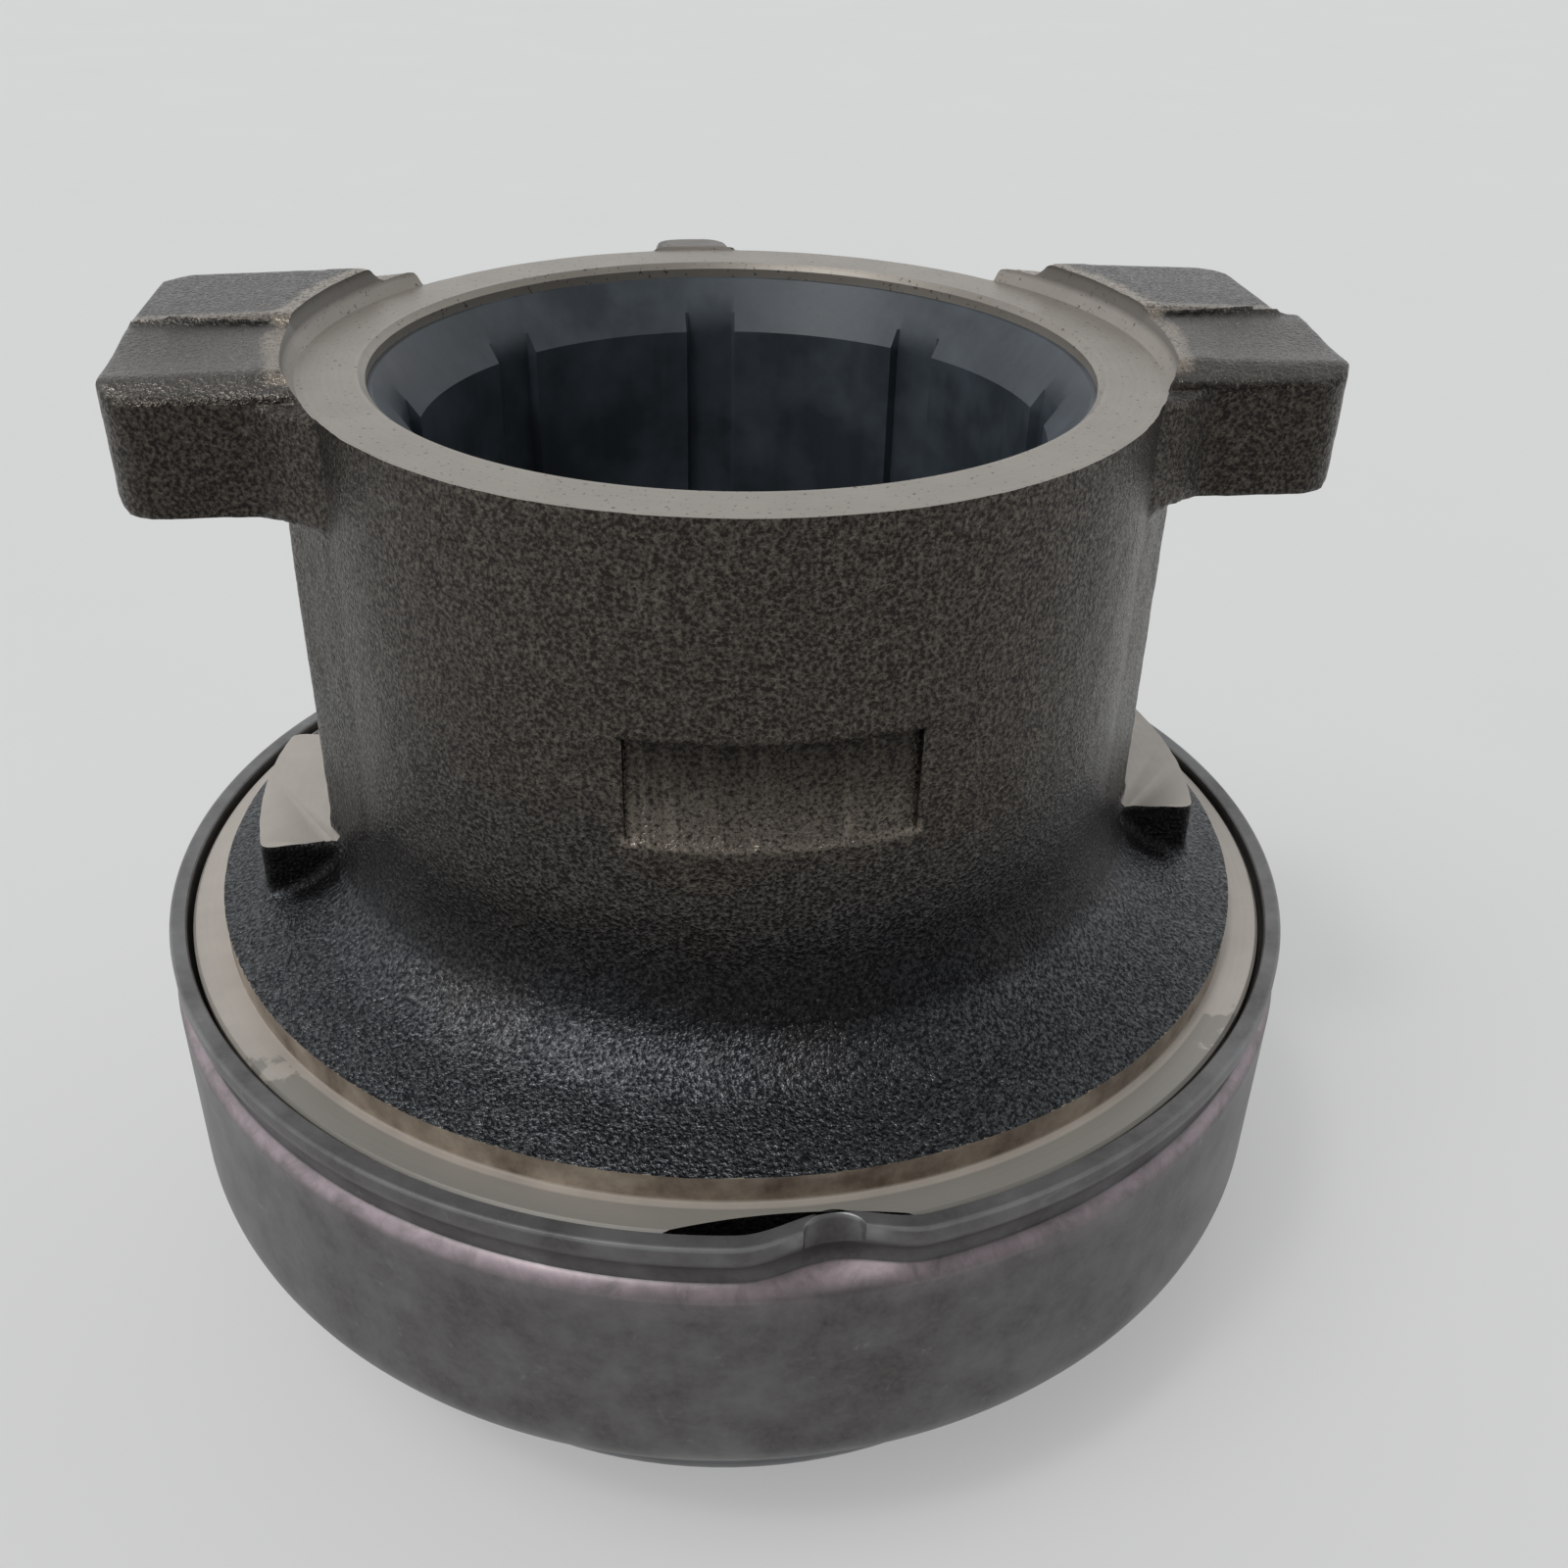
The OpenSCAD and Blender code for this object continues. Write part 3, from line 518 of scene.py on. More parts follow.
is_cut = (near(z, RIM_Z) & up) | (near(r, np.interp(z, WALL_Z, WALL_R), 0.04) & (z > RIM_Z))
is_cut |= (near(z, RING_Z) & up) | (near(r, STEP_R) & (z < 50)) | (near(z, PAD_Z) & up)
is_cut |= (r > GROOVE_R - 0.1) & (z < RING_Z) | near(z, FLANGE_Z) | near(r, BORE_R, 0.7) & (z < RIM_Z)
is_cut &= np.hypot(x, y - SCALLOP_Y) > SCALLOP_R + 0.05
sleeve.data.materials.clear()
sleeve.data.materials.append(cast_iron)
sleeve.data.materials.append(turned_iron)
sleeve.data.polygons.foreach_set("material_index", is_cut.astype(np.int32))
sleeve.data.shade_smooth()
sleeve.data.set_sharp_from_angle(angle=math.radians(40))
print("cut faces:", int(is_cut.sum()), "of", len(is_cut))

# %% [markdown]
# ## Scraped and blasted places, painted shade and highlight
# Three attributes of the points guide the iron's colours. The first is scraped where the rim's tool skimmed the
# ears and where a file dressed the parting line, and it carries a painted highlight on the ledge of the panel.
# Blasted is on the tops of the ears. The third is painted shade: a dark line under the parting line, the pads'
# walls, the ears' fronts and the panel's top edge, and the rear tops of the ears are drawn a little darker.
# Painting these by hand would look as good, but a rule on each point's place gives the same result on every run.

# %% Scraped and blasted places, painted shade and highlight
EAR_X = 28
x, y, z = points.T
out_x, radius = np.abs(x), np.hypot(x, y)
turn = np.degrees(np.arctan2(y, out_x))
knots = np.linspace(-40, 60, 60)
chance = np.random.default_rng(7)
reach = 42.4 + 0.7 * np.cos(np.radians((knots - 8) * 3.5)) + chance.normal(0, 0.3, len(knots))
skimmed = 1 - ease(radius - np.interp(turn, knots, reach), -0.3, 0.4)
ragged = EAR_PARTING + np.interp(out_x, np.linspace(40, 58, 50), chance.normal(0, 0.18, 50))
fettled = 0.75 * ease(y, ragged - 0.3, ragged + 0.1) * (1 - ease(y, EAR_PARTING + 1.4, EAR_PARTING + 1.9))
on_ear = ease(z, RIM_Z + 0.9, RIM_Z + 1.3) * (out_x > EAR_X)
# Painted shade: a dark jagged line just in front of the parting step on the ears.
crevice = np.exp(-((y - ragged + 0.5) / 0.4) ** 2) * (1 - 0.9 * ease(out_x, 46, 56)) * (skimmed < 0.5)
step_shade_and_dark_rear = np.maximum(crevice, 0.25 * ease(y, EAR_PARTING + 1.6, EAR_PARTING + 2.4) * (1 - skimmed))
blasted = np.where(y > EAR_PARTING, 0.2, 0.7) * ease(z, EAR_TOP_Z - 1.9, EAR_TOP_Z - 1.3) * (out_x > EAR_X)
pad_wall = ease(z, 48.5, 49.5) * (z < PAD_Z - 0.1) * (out_x > 40.5) * (np.abs(np.abs(y) - 12.3) < 2.2)
on_panel = (np.abs(np.degrees(np.arctan2(y, x)) + 90) < 18.5) & (radius < BARREL_R + 0.5)
ear_face = 0.25 * (1 - ease(y, EAR_FRONT + 0.3, EAR_FRONT + 1.2)) * ease(out_x, 40, 42)
ear_face *= (z > 88) & (z < 100.4)
panel_top = 0.7 * np.exp(-((z - PANEL_TOP) / 0.3) ** 2) * on_panel
# Painted highlight on the panel's lower ledge.
panel_ledge_highlight = 0.8 * np.exp(-((z - PANEL_LOW + 0.4) / 0.5) ** 2) * on_panel
# Painted shade on the parting step, the pads' walls, the ears' fronts and the panel's top edge; the rear tops of
# the ears are a little darker.
dark_places = np.maximum.reduce([step_shade_and_dark_rear * on_ear, 0.8 * pad_wall, ear_face, panel_top])
scraped_and_highlit_places = np.clip(skimmed + fettled, 0, 1) * on_ear + panel_ledge_highlight
for name, value in (("scraped", scraped_and_highlit_places), ("blasted", blasted), ("crevice", dark_places)):
    attribute = sleeve.data.attributes.new(name, "FLOAT", "POINT")
    attribute.data.foreach_set("value", value.astype(np.float32))
    print(name, "on", int((value > 0.3).sum()), "points")
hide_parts("release_sleeve")
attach(sleeve, "sleeve")

# %% [markdown]
# ## Moulded bush
# A bush of dark glass-filled polymer lines the bore and slides on the guide tube. Eight shallow grooves let
# grease and dirt run along it. Its surface is satin, with faint marks along the pull of the mould and a little
# dry grease.

# %% Bush polymer
bush_polymer, tree, place = new_material("moulded_bush_polymer")
pull = add(tree, "ShaderNodeMapping", {"Vector": place, "Scale": (1.0, 1.0, 0.08)})
streaks = add(tree, "ShaderNodeTexNoise", {"Vector": pull, "Scale": per(1.2), "Detail": 4.0})
haze = add(tree, "ShaderNodeTexNoise", {"Vector": place, "Scale": per(9), "Detail": 4.0, "Roughness": 0.6})
# The mould's spark-eroded texture is nearer 0.1 mm, and is drawn as 0.7 mm so that it shows.
specks = add(tree, "ShaderNodeTexNoise", {"Vector": place, "Scale": per(0.7), "Detail": 1.0})
dust = add(tree, "ShaderNodeMapRange", {"Value": haze.outputs["Fac"], "From Min": 0.42, "From Max": 0.7})
base = add(tree, "ShaderNodeMix", {0: streaks.outputs["Fac"], 6: colour("#2a3035"), 7: colour("#3b4249")},
           data_type="RGBA")
dusty = add(tree, "ShaderNodeMix", {0: dust, 6: base.outputs[2], 7: colour("#4a525a")}, data_type="RGBA")
gloss = add(tree, "ShaderNodeMapRange", {"Value": haze.outputs["Fac"], "To Min": 0.3, "To Max": 0.6})
relief = add(tree, "ShaderNodeBump", {"Height": specks.outputs["Fac"], "Strength": 0.3, "Distance": 0.04 * MM})
shader = add(tree, "ShaderNodeBsdfPrincipled", {"Base Color": dusty.outputs[2], "Roughness": gloss,
                                               "Normal": relief})
finish_material(tree, shader)
print("made", bush_polymer.name)

# %% [markdown]
# ## The bush from one sector
# The bush is the same eight times over, so one sector is meshed: a land, and a groove with slanted flanks, from
# the lead-in cone at the top to the plain end below. Geometry Nodes set eight copies round the axis, realise
# them, weld the seams and give the material.

# %% Bush
GROOVES, GROOVE_W, GROOVE_DEEP = 8, 5.0, 1.0
BUSH_TOP, BUSH_LOW, BUSH_IN, BUSH_OUT = 98.5, FLANGE_Z, 30.0, 33.98
LEAD_LEN, LEAD_LIP = 5.0, 0.5

pitch = 2 * math.pi / GROOVES
half = GROOVE_W / 2 / BUSH_IN
turns_at = np.unique(np.round(np.concatenate([
    np.linspace(-pitch / 2, pitch / 2, 33), [-half - 0.006, -half + 0.006, half - 0.006, half + 0.006]]), 6))
levels = [BUSH_TOP, BUSH_TOP - 1.5, BUSH_TOP - 3.2, BUSH_TOP - LEAD_LEN, BUSH_TOP - LEAD_LEN - 0.6, 80, 60, 40,
          BUSH_LOW]
grid = []
for turn in turns_at:
    deep = GROOVE_DEEP * (1 - float(ease(abs(turn), half - 0.007, half + 0.007)))
    column = []
    for level in levels:
        lead = max(0.0, level - (BUSH_TOP - LEAD_LEN)) / LEAD_LEN
        inner = max(BUSH_IN + deep, BUSH_IN + lead * (BUSH_OUT - LEAD_LIP - BUSH_IN))
        column.append((inner, level))
    column = [(BUSH_OUT, BUSH_LOW), (BUSH_OUT, BUSH_TOP)] + column
    grid.append([(radius * math.cos(turn), radius * math.sin(turn), level) for radius, level in column])
count = len(grid[0])
faces = [(i * count + j, i * count + (j + 1) % count, (i + 1) * count + (j + 1) % count, (i + 1) * count + j)
         for i in range(len(grid) - 1) for j in range(count)]
sector = mesh_of("bush_sector", np.concatenate(grid), faces)
check = bmesh.new()
check.from_mesh(sector)
bmesh.ops.recalc_face_normals(check, faces=check.faces)
inward = [f for f in check.faces if abs(f.calc_center_median().z / MM - 60) < 25 and
          math.hypot(f.calc_center_median().x, f.calc_center_median().y) / MM < 32]
if sum(f.normal.x for f in inward) > 0:
    bmesh.ops.reverse_faces(check, faces=check.faces)
check.to_mesh(sector)
check.free()

ring_tree = bpy.data.node_groups.new("sectors_round_axis", "GeometryNodeTree")
sockets = ring_tree.interface
sockets.new_socket("Geometry", in_out="INPUT", socket_type="NodeSocketGeometry")
sockets.new_socket("Geometry", in_out="OUTPUT", socket_type="NodeSocketGeometry")
sockets.new_socket("Sectors", in_out="INPUT", socket_type="NodeSocketInt")
sockets.new_socket("First turn", in_out="INPUT", socket_type="NodeSocketFloat")
sockets.new_socket("Finish", in_out="INPUT", socket_type="NodeSocketMaterial")
given = add(ring_tree, "NodeGroupInput")
axis_points = add(ring_tree, "GeometryNodePoints", {"Count": given.outputs["Sectors"]})
index = add(ring_tree, "GeometryNodeInputIndex")
step = add(ring_tree, "ShaderNodeMath", {0: 2 * math.pi, 1: given.outputs["Sectors"]}, operation="DIVIDE")
turn = add(ring_tree, "ShaderNodeMath", {0: index, 1: step, 2: given.outputs["First turn"]},
           operation="MULTIPLY_ADD")
about_z = add(ring_tree, "ShaderNodeCombineXYZ", {"Z": turn})
copies = add(ring_tree, "GeometryNodeInstanceOnPoints", {"Points": axis_points, "Instance": given.outputs[0],
                                                        "Rotation": about_z})
real = add(ring_tree, "GeometryNodeRealizeInstances", {0: copies})
welded = add(ring_tree, "GeometryNodeMergeByDistance", {"Geometry": real, "Distance": 0.005 * MM})
coated = add(ring_tree, "GeometryNodeSetMaterial", {"Geometry": welded, "Material": given.outputs["Finish"]})
add(ring_tree, "NodeGroupOutput", {0: coated})

bush = made_object("moulded_bush", sector)
rows = bush.modifiers.new("sectors", "NODES")
rows.node_group = ring_tree
wanted = {"Sectors": GROOVES, "First turn": math.pi / 2, "Finish": bush_polymer}
for item in ring_tree.interface.items_tree:
    if item.name in wanted:
        rows[item.identifier] = wanted[item.name]
frozen(bush)
bush.data.shade_smooth()
bush.data.set_sharp_from_angle(angle=math.radians(30))
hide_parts("guide_bush")
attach(bush, "sleeve")
print("bush of", GROOVES, "sectors:", len(bush.data.polygons), "faces")

# %% [markdown]
# ## Phosphated steel
# The cover is deep-drawn sheet steel with a grey phosphate coat. Phosphate is a layer of tiny crystals, so it
# looks matt and mottled. It rubs off at the rim, which shows as a bright thin line, and handling has left pale
# scuffs. The bead of the shoulder is drawn a pale purple-brown, partly temper tint and partly a painted highlight.
# A wear attribute from the mesh says where the edges are.

# %% Phosphated steel
phosphated, tree, place = new_material("phosphated_sheet_steel")
# Phosphate crystals are a few hundredths of a millimetre, and are drawn as 0.6 mm so that they show.
crystals = add(tree, "ShaderNodeTexNoise", {"Vector": place, "Scale": per(0.6), "Detail": 3.0, "Roughness": 0.6})
mottle = add(tree, "ShaderNodeTexNoise", {"Vector": place, "Scale": per(7), "Detail": 5.0, "Roughness": 0.65})
scuff_noise = add(tree, "ShaderNodeTexNoise", {"Vector": place, "Scale": per(3.2), "Detail": 5.0,
                                              "Roughness": 0.7, "Distortion": 0.6})
wear = add(tree, "ShaderNodeAttribute", attribute_name="wear").outputs["Fac"]
tint_and_highlight = add(tree, "ShaderNodeAttribute", attribute_name="temper").outputs["Fac"]
coat = add(tree, "ShaderNodeMix", {0: crystals.outputs["Fac"], 6: colour("#343231"), 7: colour("#605d5c")},
           data_type="RGBA")
cloud = add(tree, "ShaderNodeMapRange", {"Value": mottle.outputs["Fac"], "From Min": 0.35, "From Max": 0.68})
tint_and_highlight_noise = add(tree, "ShaderNodeMapRange", {"Value": scuff_noise.outputs["Fac"], "From Min": 0.3, "From Max": 0.6,
                                             "To Min": 0.35})
clouded = add(tree, "ShaderNodeMix", {0: cloud, 6: coat.outputs[2], 7: colour("#6a6868")}, data_type="RGBA")
# The bead is lightened towards a pale purple: partly temper tint, partly a painted highlight.
blush_and_highlight = add(tree, "ShaderNodeMath", {0: tint_and_highlight, 1: tint_and_highlight_noise}, operation="MULTIPLY")
tinted_and_highlit = add(tree, "ShaderNodeMix", {0: blush_and_highlight, 6: clouded.outputs[2], 7: colour("#a3959a")}, data_type="RGBA")
scuff = add(tree, "ShaderNodeMapRange", {"Value": scuff_noise.outputs["Fac"], "From Min": 0.62, "From Max": 0.74})
worn = add(tree, "ShaderNodeMath", {0: wear, 1: mottle.outputs["Fac"]}, operation="MULTIPLY")
bare = add(tree, "ShaderNodeMath", {0: scuff, 1: 0.35, 2: worn}, operation="MULTIPLY_ADD", use_clamp=True)
painted = add(tree, "ShaderNodeMix", {0: bare, 6: tinted_and_highlit.outputs[2], 7: colour("#8e8f8f")}, data_type="RGBA")
gloss = add(tree, "ShaderNodeMapRange", {"Value": bare, "To Min": 0.4, "To Max": 0.3})
relief = add(tree, "ShaderNodeBump", {"Height": crystals.outputs["Fac"], "Strength": 0.3, "Distance": 0.04 * MM})
shader = add(tree, "ShaderNodeBsdfPrincipled", {"Base Color": painted.outputs[2], "Roughness": gloss,
                                               "Metallic": 0.55, "Normal": relief})
finish_material(tree, shader)
print("made", phosphated.name)

# %% [markdown]
# ## The cover and its staked dent
# The cover is a cup of 1.7 mm sheet, rolled in at the neck to grip the flange, with a crisp bead at its shoulder
# and a flat land on its rim. At one place a punch drove the rim into the flange's scallop, so that it can't turn.
# A profile is swept round the axis on a grid that is finer near the dent. There both walls move inwards in a
# broad wave, and the punch leaves a leaning facet with a round top in the outer one.

# %% Cover
COVER_R, COVER_T, COVER_LOW, COVER_TOP = 60.0, 1.7, 13.7, 45.1
HOLE_R, CORNER_R, SHOULDER_Z, NECK_DEEP, RIM_TUCK = 50.2, 7.0, 38.9, 1.1, 0.2
DENT_AT, DENT_W, DENT_IN, DENT_H, WAVE_IN, WAVE_W = -86.5, 5.4, 1.4, 2.3, 2.0, 8.6

outside = [(HOLE_R, COVER_LOW), (51.6, COVER_LOW)]
outside += arc(COVER_R - CORNER_R, COVER_LOW + CORNER_R, CORNER_R, -90, 0, 14)
outside += [(COVER_R, level) for level in np.linspace(23, SHOULDER_Z - 0.25, 8)] + [(COVER_R, SHOULDER_Z)]
BEAD_LOW, BEAD_HIGH = 22, 58
bead_low, bead_high = math.radians(BEAD_LOW), math.radians(BEAD_HIGH)
bead_r = NECK_DEEP / (math.cos(bead_low) - math.cos(bead_high))
outside += arc(COVER_R - bead_r * math.cos(bead_low), SHOULDER_Z - bead_r * math.sin(bead_low),
               bead_r, BEAD_LOW, BEAD_HIGH, 9)[1:]
neck_r, neck_z = outside[-1]
rim_r = COVER_R - RIM_TUCK
outside += [(neck_r - 0.03, neck_z + 0.5), (neck_r + 0.05, neck_z + 1.4), (neck_r + 0.3, neck_z + 2.1)]
outside += [(rim_r - 0.15, neck_z + 2.7)]
outside += [(rim_r, level) for level in np.linspace(neck_z + 3.4, COVER_TOP - 0.2, 6)]
outside += [(rim_r - 0.06, COVER_TOP - 0.06), (rim_r - 0.2, COVER_TOP), (rim_r - 0.35, COVER_TOP)]
across = np.array(outside)
ahead = np.gradient(across, axis=0)
ahead /= np.linalg.norm(ahead, axis=1)[:, None]
inside = across + COVER_T * np.stack([-ahead[:, 1], ahead[:, 0]], axis=1)
CLEAR_R = FLANGE_R + 0.1
inside = [(max(r, CLEAR_R) if 30 < level < 40.6 else r, level)
          for r, level in inside[:-4] if level < COVER_TOP - 1.2]
inside[0] = (HOLE_R, COVER_LOW + COVER_T)
inside += [(rim_r - COVER_T, COVER_TOP - 0.9), (rim_r - COVER_T, COVER_TOP - 0.15)]
inside += [(rim_r - COVER_T + 0.15, COVER_TOP), (rim_r - COVER_T + 0.3, COVER_TOP)]
loop = np.array(outside + inside[::-1])

fine = np.radians(DENT_AT + np.linspace(-13, 13, 131))
coarse = np.radians(DENT_AT + np.linspace(13, 347, 253)[1:-1])
sweep = np.concatenate([fine, coarse])
along = (sweep - math.radians(DENT_AT) + math.pi) % (2 * math.pi) - math.pi
r, level = loop[:, 0][None, :], loop[:, 1][None, :]
arc_mm = (along * COVER_R)[:, None]
is_outside = (np.arange(len(loop)) < len(outside))[None, :]
wave = np.cos(np.clip(arc_mm / WAVE_W, -1, 1) * math.pi / 2) ** 2
near_rim = np.where(is_outside, ease(level, COVER_TOP - 7.4, COVER_TOP - 4.4),
                    ease(level, COVER_TOP - 7.0, COVER_TOP - 0.6))
slant = np.clip((level - (COVER_TOP - DENT_H)) / DENT_H, 0, 1)
facet = ease(slant, 0, 0.12) * (np.abs(arc_mm) < DENT_W / 2) * is_outside
arch = np.sqrt(np.clip(1 - (2 * arc_mm / DENT_W) ** 2, 0, 1))
punch = facet * (0.15 + 0.85 * slant) * (1 - slant + slant * arch)
inwards = WAVE_IN * wave * near_rim + DENT_IN * punch
place_r = r - inwards
shape = np.stack([place_r * np.cos(sweep)[:, None], place_r * np.sin(sweep)[:, None],
                  np.broadcast_to(level, place_r.shape)], axis=2)
m, n = place_r.shape
faces = [(i * n + j, ((i + 1) % m) * n + j, ((i + 1) % m) * n + (j + 1) % n, i * n + (j + 1) % n)
         for i in range(m) for j in range(n)]
cover = made_object("drawn_cover", mesh_of("drawn_cover", shape.reshape(-1, 3), faces))
print("cover grid:", m, "by", n)

# %% [markdown]
# ## Where the cover is worn
# Two attributes go with the points. Wear is highest on the rim's outer edge, on its land and at the lips of the
# dent, and the second marks the bead of the shoulder with a tint that is partly temper colour, where drawing
# worked the sheet hardest, and partly a painted highlight.

# %% Wear of the cover
edge = np.where(level > COVER_TOP - 0.25, np.where(r > rim_r - 0.25, 1.0, 0.65), 0.0)
lips = 1.4 * np.exp(-((np.abs(arc_mm) - DENT_W / 2 - 0.8) / 1.1) ** 2) * slant * is_outside
wear_value = np.clip(np.broadcast_to(edge, place_r.shape) + lips, 0, 1)
# Tint on the bead: partly temper colour, partly a painted highlight.
tint_and_highlight_at_bead = np.exp(-((level - SHOULDER_Z - 0.8) / 0.8) ** 2) * (r > COVER_R - 1.05)
temper_and_highlight_value = np.broadcast_to(tint_and_highlight_at_bead, place_r.shape)
for name, value in (("wear", wear_value), ("temper", temper_and_highlight_value)):
    attribute = cover.data.attributes.new(name, "FLOAT", "POINT")
    attribute.data.foreach_set("value", np.ascontiguousarray(value, dtype=np.float32).ravel())
cover.data.materials.append(phosphated)
cover.data.shade_smooth()
cover.data.set_sharp_from_angle(angle=math.radians(40))
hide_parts("bearing_cover")
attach(cover, "sleeve")
print("worn points:", int((wear_value > 0.3).sum()))

# %% [markdown]
# ## The bearing's own parts
# The rings are hardened bearing steel, ground to a fine satin with marks that run round. The balls are lapped
# to a mirror, the cage is tan moulded polymer, the seals are black nitrile rubber and the conical washer is oiled
# spring steel. Their CAD shapes are right, so each solid stays and only gets its material.

# %% Ground bearing steel
bearing_steel, tree, place = new_material("ground_bearing_steel")
flat = add(tree, "ShaderNodeVectorMath", {0: place, 1: (1.0, 1.0, 0.0)}, operation="MULTIPLY")
from_axis = add(tree, "ShaderNodeVectorMath", {0: flat}, operation="LENGTH")
axes = add(tree, "ShaderNodeSeparateXYZ", {0: place})
lay = add(tree, "ShaderNodeMath", {0: from_axis.outputs["Value"], 1: axes.outputs["Z"]}, operation="ADD")
# The marks of grinding are finer than 0.05 mm, and are drawn as 0.3 mm so that they show.
marks = add(tree, "ShaderNodeTexNoise", {"W": lay, "Scale": per(0.3), "Detail": 4.0}, noise_dimensions="1D")
film = add(tree, "ShaderNodeTexNoise", {"Vector": place, "Scale": per(8), "Detail": 4.0, "Roughness": 0.6})
steel = add(tree, "ShaderNodeMix", {0: film.outputs["Fac"], 6: colour("#5d5f61"), 7: colour("#8f9192")},
            data_type="RGBA")
gloss = add(tree, "ShaderNodeMapRange", {"Value": marks.outputs["Fac"], "To Min": 0.22, "To Max": 0.42})
relief = add(tree, "ShaderNodeBump", {"Height": marks.outputs["Fac"], "Strength": 0.2, "Distance": 0.02 * MM})
shader = add(tree, "ShaderNodeBsdfPrincipled", {"Base Color": steel.outputs[2], "Roughness": gloss,
                                               "Metallic": 1.0, "Normal": relief})
finish_material(tree, shader)
print("made", bearing_steel.name)

# %% Balls, washer, cage and seals
plain = {}
for name, dark, pale, size, rough_low, rough_high, metal, depth in (
        ("lapped_ball_steel", "#9b9da0", "#b4b6b8", 2.0, 0.06, 0.16, 1.0, 0.002),
        ("oiled_spring_steel", "#3f4348", "#666a6e", 3.0, 0.28, 0.45, 0.9, 0.01),
        ("moulded_cage_polymer", "#6f6350", "#8a7c66", 1.2, 0.42, 0.6, 0.0, 0.03),
        ("nitrile_seal_rubber", "#141414", "#242526", 0.8, 0.5, 0.72, 0.0, 0.04)):
    plain[name], tree, place = new_material(name)
    grain = add(tree, "ShaderNodeTexNoise", {"Vector": place, "Scale": per(size), "Detail": 4.0, "Roughness": 0.6})
    base = add(tree, "ShaderNodeMix", {0: grain.outputs["Fac"], 6: colour(dark), 7: colour(pale)}, data_type="RGBA")
    gloss = add(tree, "ShaderNodeMapRange", {"Value": grain.outputs["Fac"], "To Min": rough_low,
                                            "To Max": rough_high})
    relief = add(tree, "ShaderNodeBump", {"Height": grain.outputs["Fac"], "Strength": 0.25, "Distance": depth * MM})
    shader = add(tree, "ShaderNodeBsdfPrincipled", {"Base Color": base.outputs[2], "Roughness": gloss,
                                                   "Metallic": metal, "Normal": relief})
    finish_material(tree, shader)

finishes = {"outer_ring": bearing_steel, "inner_ring": bearing_steel, "spring_washer": plain["oiled_spring_steel"],
            "ball_cage": plain["moulded_cage_polymer"], "front_seal": plain["nitrile_seal_rubber"],
            "rear_seal": plain["nitrile_seal_rubber"]}
for name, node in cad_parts.items():
    finish = plain["lapped_ball_steel"] if name[-2:].isdigit() else finishes.get(name)
    if finish:
        node.data.materials.clear()
        node.data.materials.append(finish)
        print(name, "is", finish.name)

# %% [markdown]
# ## Floor, light and camera
# The part stands on its nose on a pale sheet, which glows a little for the camera and for reflections so that
# it stays pale beside the part's shadow. A broad soft lamp hangs above, to the left and in front, and a small
# one beside it makes the sand grains glint. The room is bright behind the part and dim in front and overhead, so
# metal has something to reflect and the fillet stays dark. The camera stands about 150 mm in front and looks
# down on the part, as it was photographed.

# %% Floor
paper, tree, place = new_material("pale_paper")
fibres = add(tree, "ShaderNodeTexNoise", {"Vector": place, "Scale": per(60), "Detail": 5.0})
base = add(tree, "ShaderNodeMix", {0: fibres.outputs["Fac"], 6: colour("#d3d4d3"), 7: colour("#d9dad9")},
           data_type="RGBA")
shader = add(tree, "ShaderNodeBsdfPrincipled", {"Base Color": base.outputs[2], "Roughness": 0.9})
glow = add(tree, "ShaderNodeEmission", {"Color": colour("#dddedd"), "Strength": 1.0})
rays = add(tree, "ShaderNodeLightPath")
seen = add(tree, "ShaderNodeMath", {0: rays.outputs["Is Camera Ray"], 1: rays.outputs["Is Glossy Ray"]},
           operation="MAXIMUM")
GLOW_SHARE = 0.45
share = add(tree, "ShaderNodeMath", {0: seen, 1: GLOW_SHARE}, operation="MULTIPLY")
sheet = add(tree, "ShaderNodeMixShader", {0: share, 1: shader, 2: glow})
finish_material(tree, sheet)
floor = made_object("floor", mesh_of("floor", [(-4000, -4000, 0), (4000, -4000, 0), (4000, 4000, 0),
                                              (-4000, 4000, 0)], [(0, 1, 2, 3)]))
floor.data.materials.append(paper)
print("floor", round(floor.dimensions.x), "m wide")

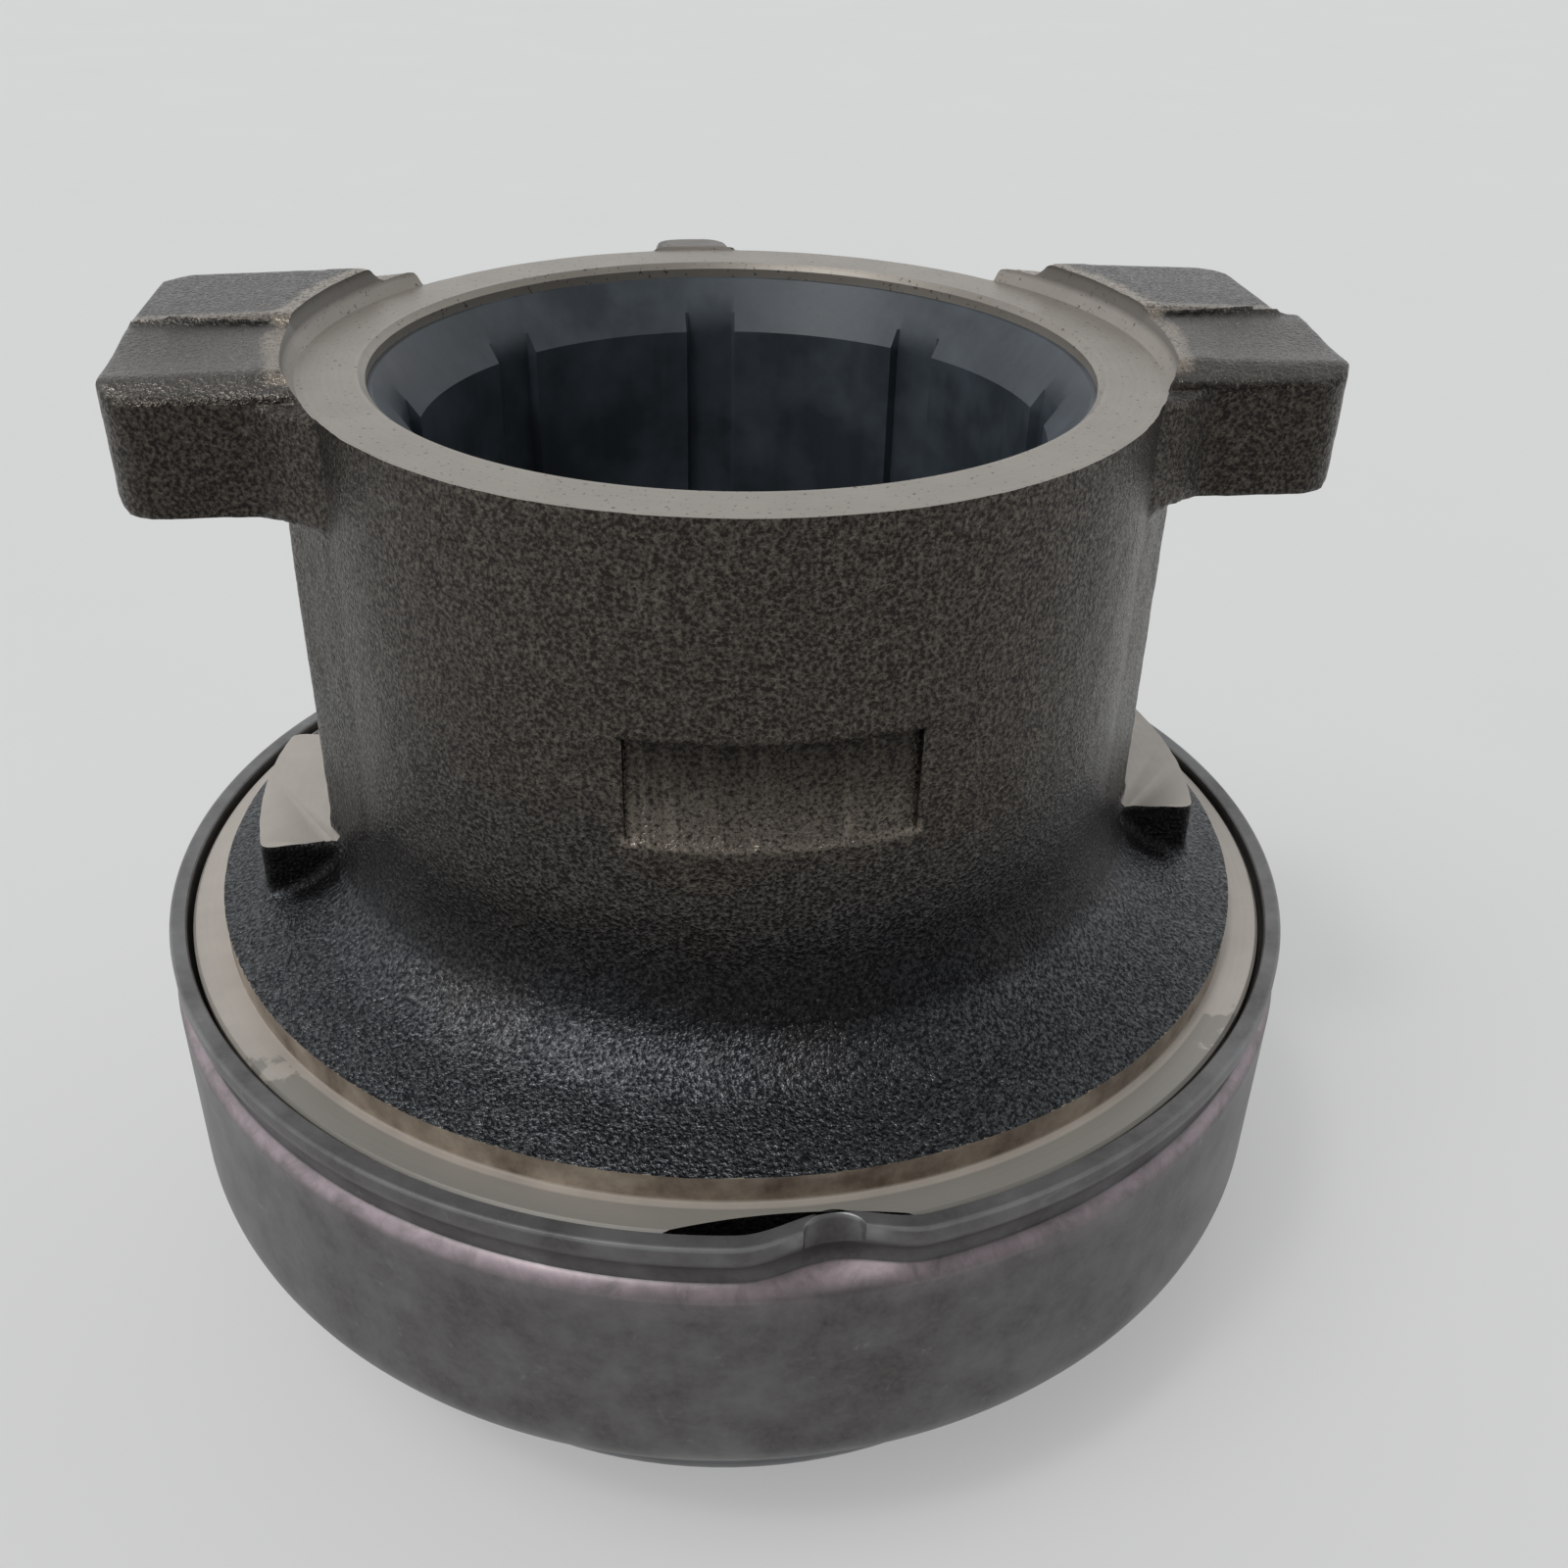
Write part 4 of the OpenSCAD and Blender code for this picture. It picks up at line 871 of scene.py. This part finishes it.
# %% Lights
TO_LAMPS = Vector((-0.38, -0.29, 0.88))
for name, energy, wide in (("overhead", 1.0, 36), ("ceiling_lamp", 0.4, 8)):
    lamp = bpy.data.lights.new(name, "SUN")
    lamp.energy = energy
    lamp.angle = math.radians(wide)
    made_object(name, lamp).matrix_world = TO_LAMPS.to_track_quat("Z", "Y").to_matrix().to_4x4()

world = bpy.data.worlds.new("studio")
bpy.context.scene.world = world
world.use_nodes = True
tree = world.node_tree
tree.nodes.clear()
way = add(tree, "ShaderNodeTexCoord").outputs["Generated"]
front = add(tree, "ShaderNodeVectorMath", {0: way, 1: (0.25, -0.92, 0.3)}, operation="DOT_PRODUCT")
room = add(tree, "ShaderNodeMapRange", {"Value": front.outputs["Value"], "From Min": 0.3, "From Max": 0.9,
                                       "To Min": 1.05, "To Max": 0.2}, interpolation_type="SMOOTHSTEP")
upwards = add(tree, "ShaderNodeSeparateXYZ", {0: way})
ceiling = add(tree, "ShaderNodeMapRange", {"Value": upwards.outputs["Z"], "From Min": 0.55, "From Max": 0.8,
                                          "To Min": 1.0, "To Max": 0.4}, interpolation_type="SMOOTHSTEP")
whole = add(tree, "ShaderNodeMath", {0: room, 1: ceiling}, operation="MULTIPLY")
light = add(tree, "ShaderNodeBackground", {"Color": colour("#f2f4f6"), "Strength": whole})
add(tree, "ShaderNodeOutputWorld", {"Surface": light})
print("two lamps and room light ready")

# %% Camera
camera = bpy.data.cameras.new("camera")
camera.sensor_width = 36.0
camera.lens = 37.25
roll = math.radians(1.471)
right, above = Vector((0.99196, -0.12655, 0.0)), Vector((0.06651, 0.52137, 0.8507))
back = Vector((-0.10766, -0.84386, 0.5256))
axis_x = math.cos(roll) * right + math.sin(roll) * above
axis_y = -math.sin(roll) * right + math.cos(roll) * above
eye = Vector((-13.48, -150.87, 146.09)) * MM
view = made_object("camera", camera)
view.matrix_world = Matrix(((axis_x.x, axis_y.x, back.x, eye.x), (axis_x.y, axis_y.y, back.y, eye.y),
                            (axis_x.z, axis_y.z, back.z, eye.z), (0, 0, 0, 1)))
camera.clip_start = 0.01
bpy.context.scene.camera = view
bpy.context.scene.view_settings.view_transform = "Standard"
print("camera", round(view.location.z / MM), "mm above the floor")
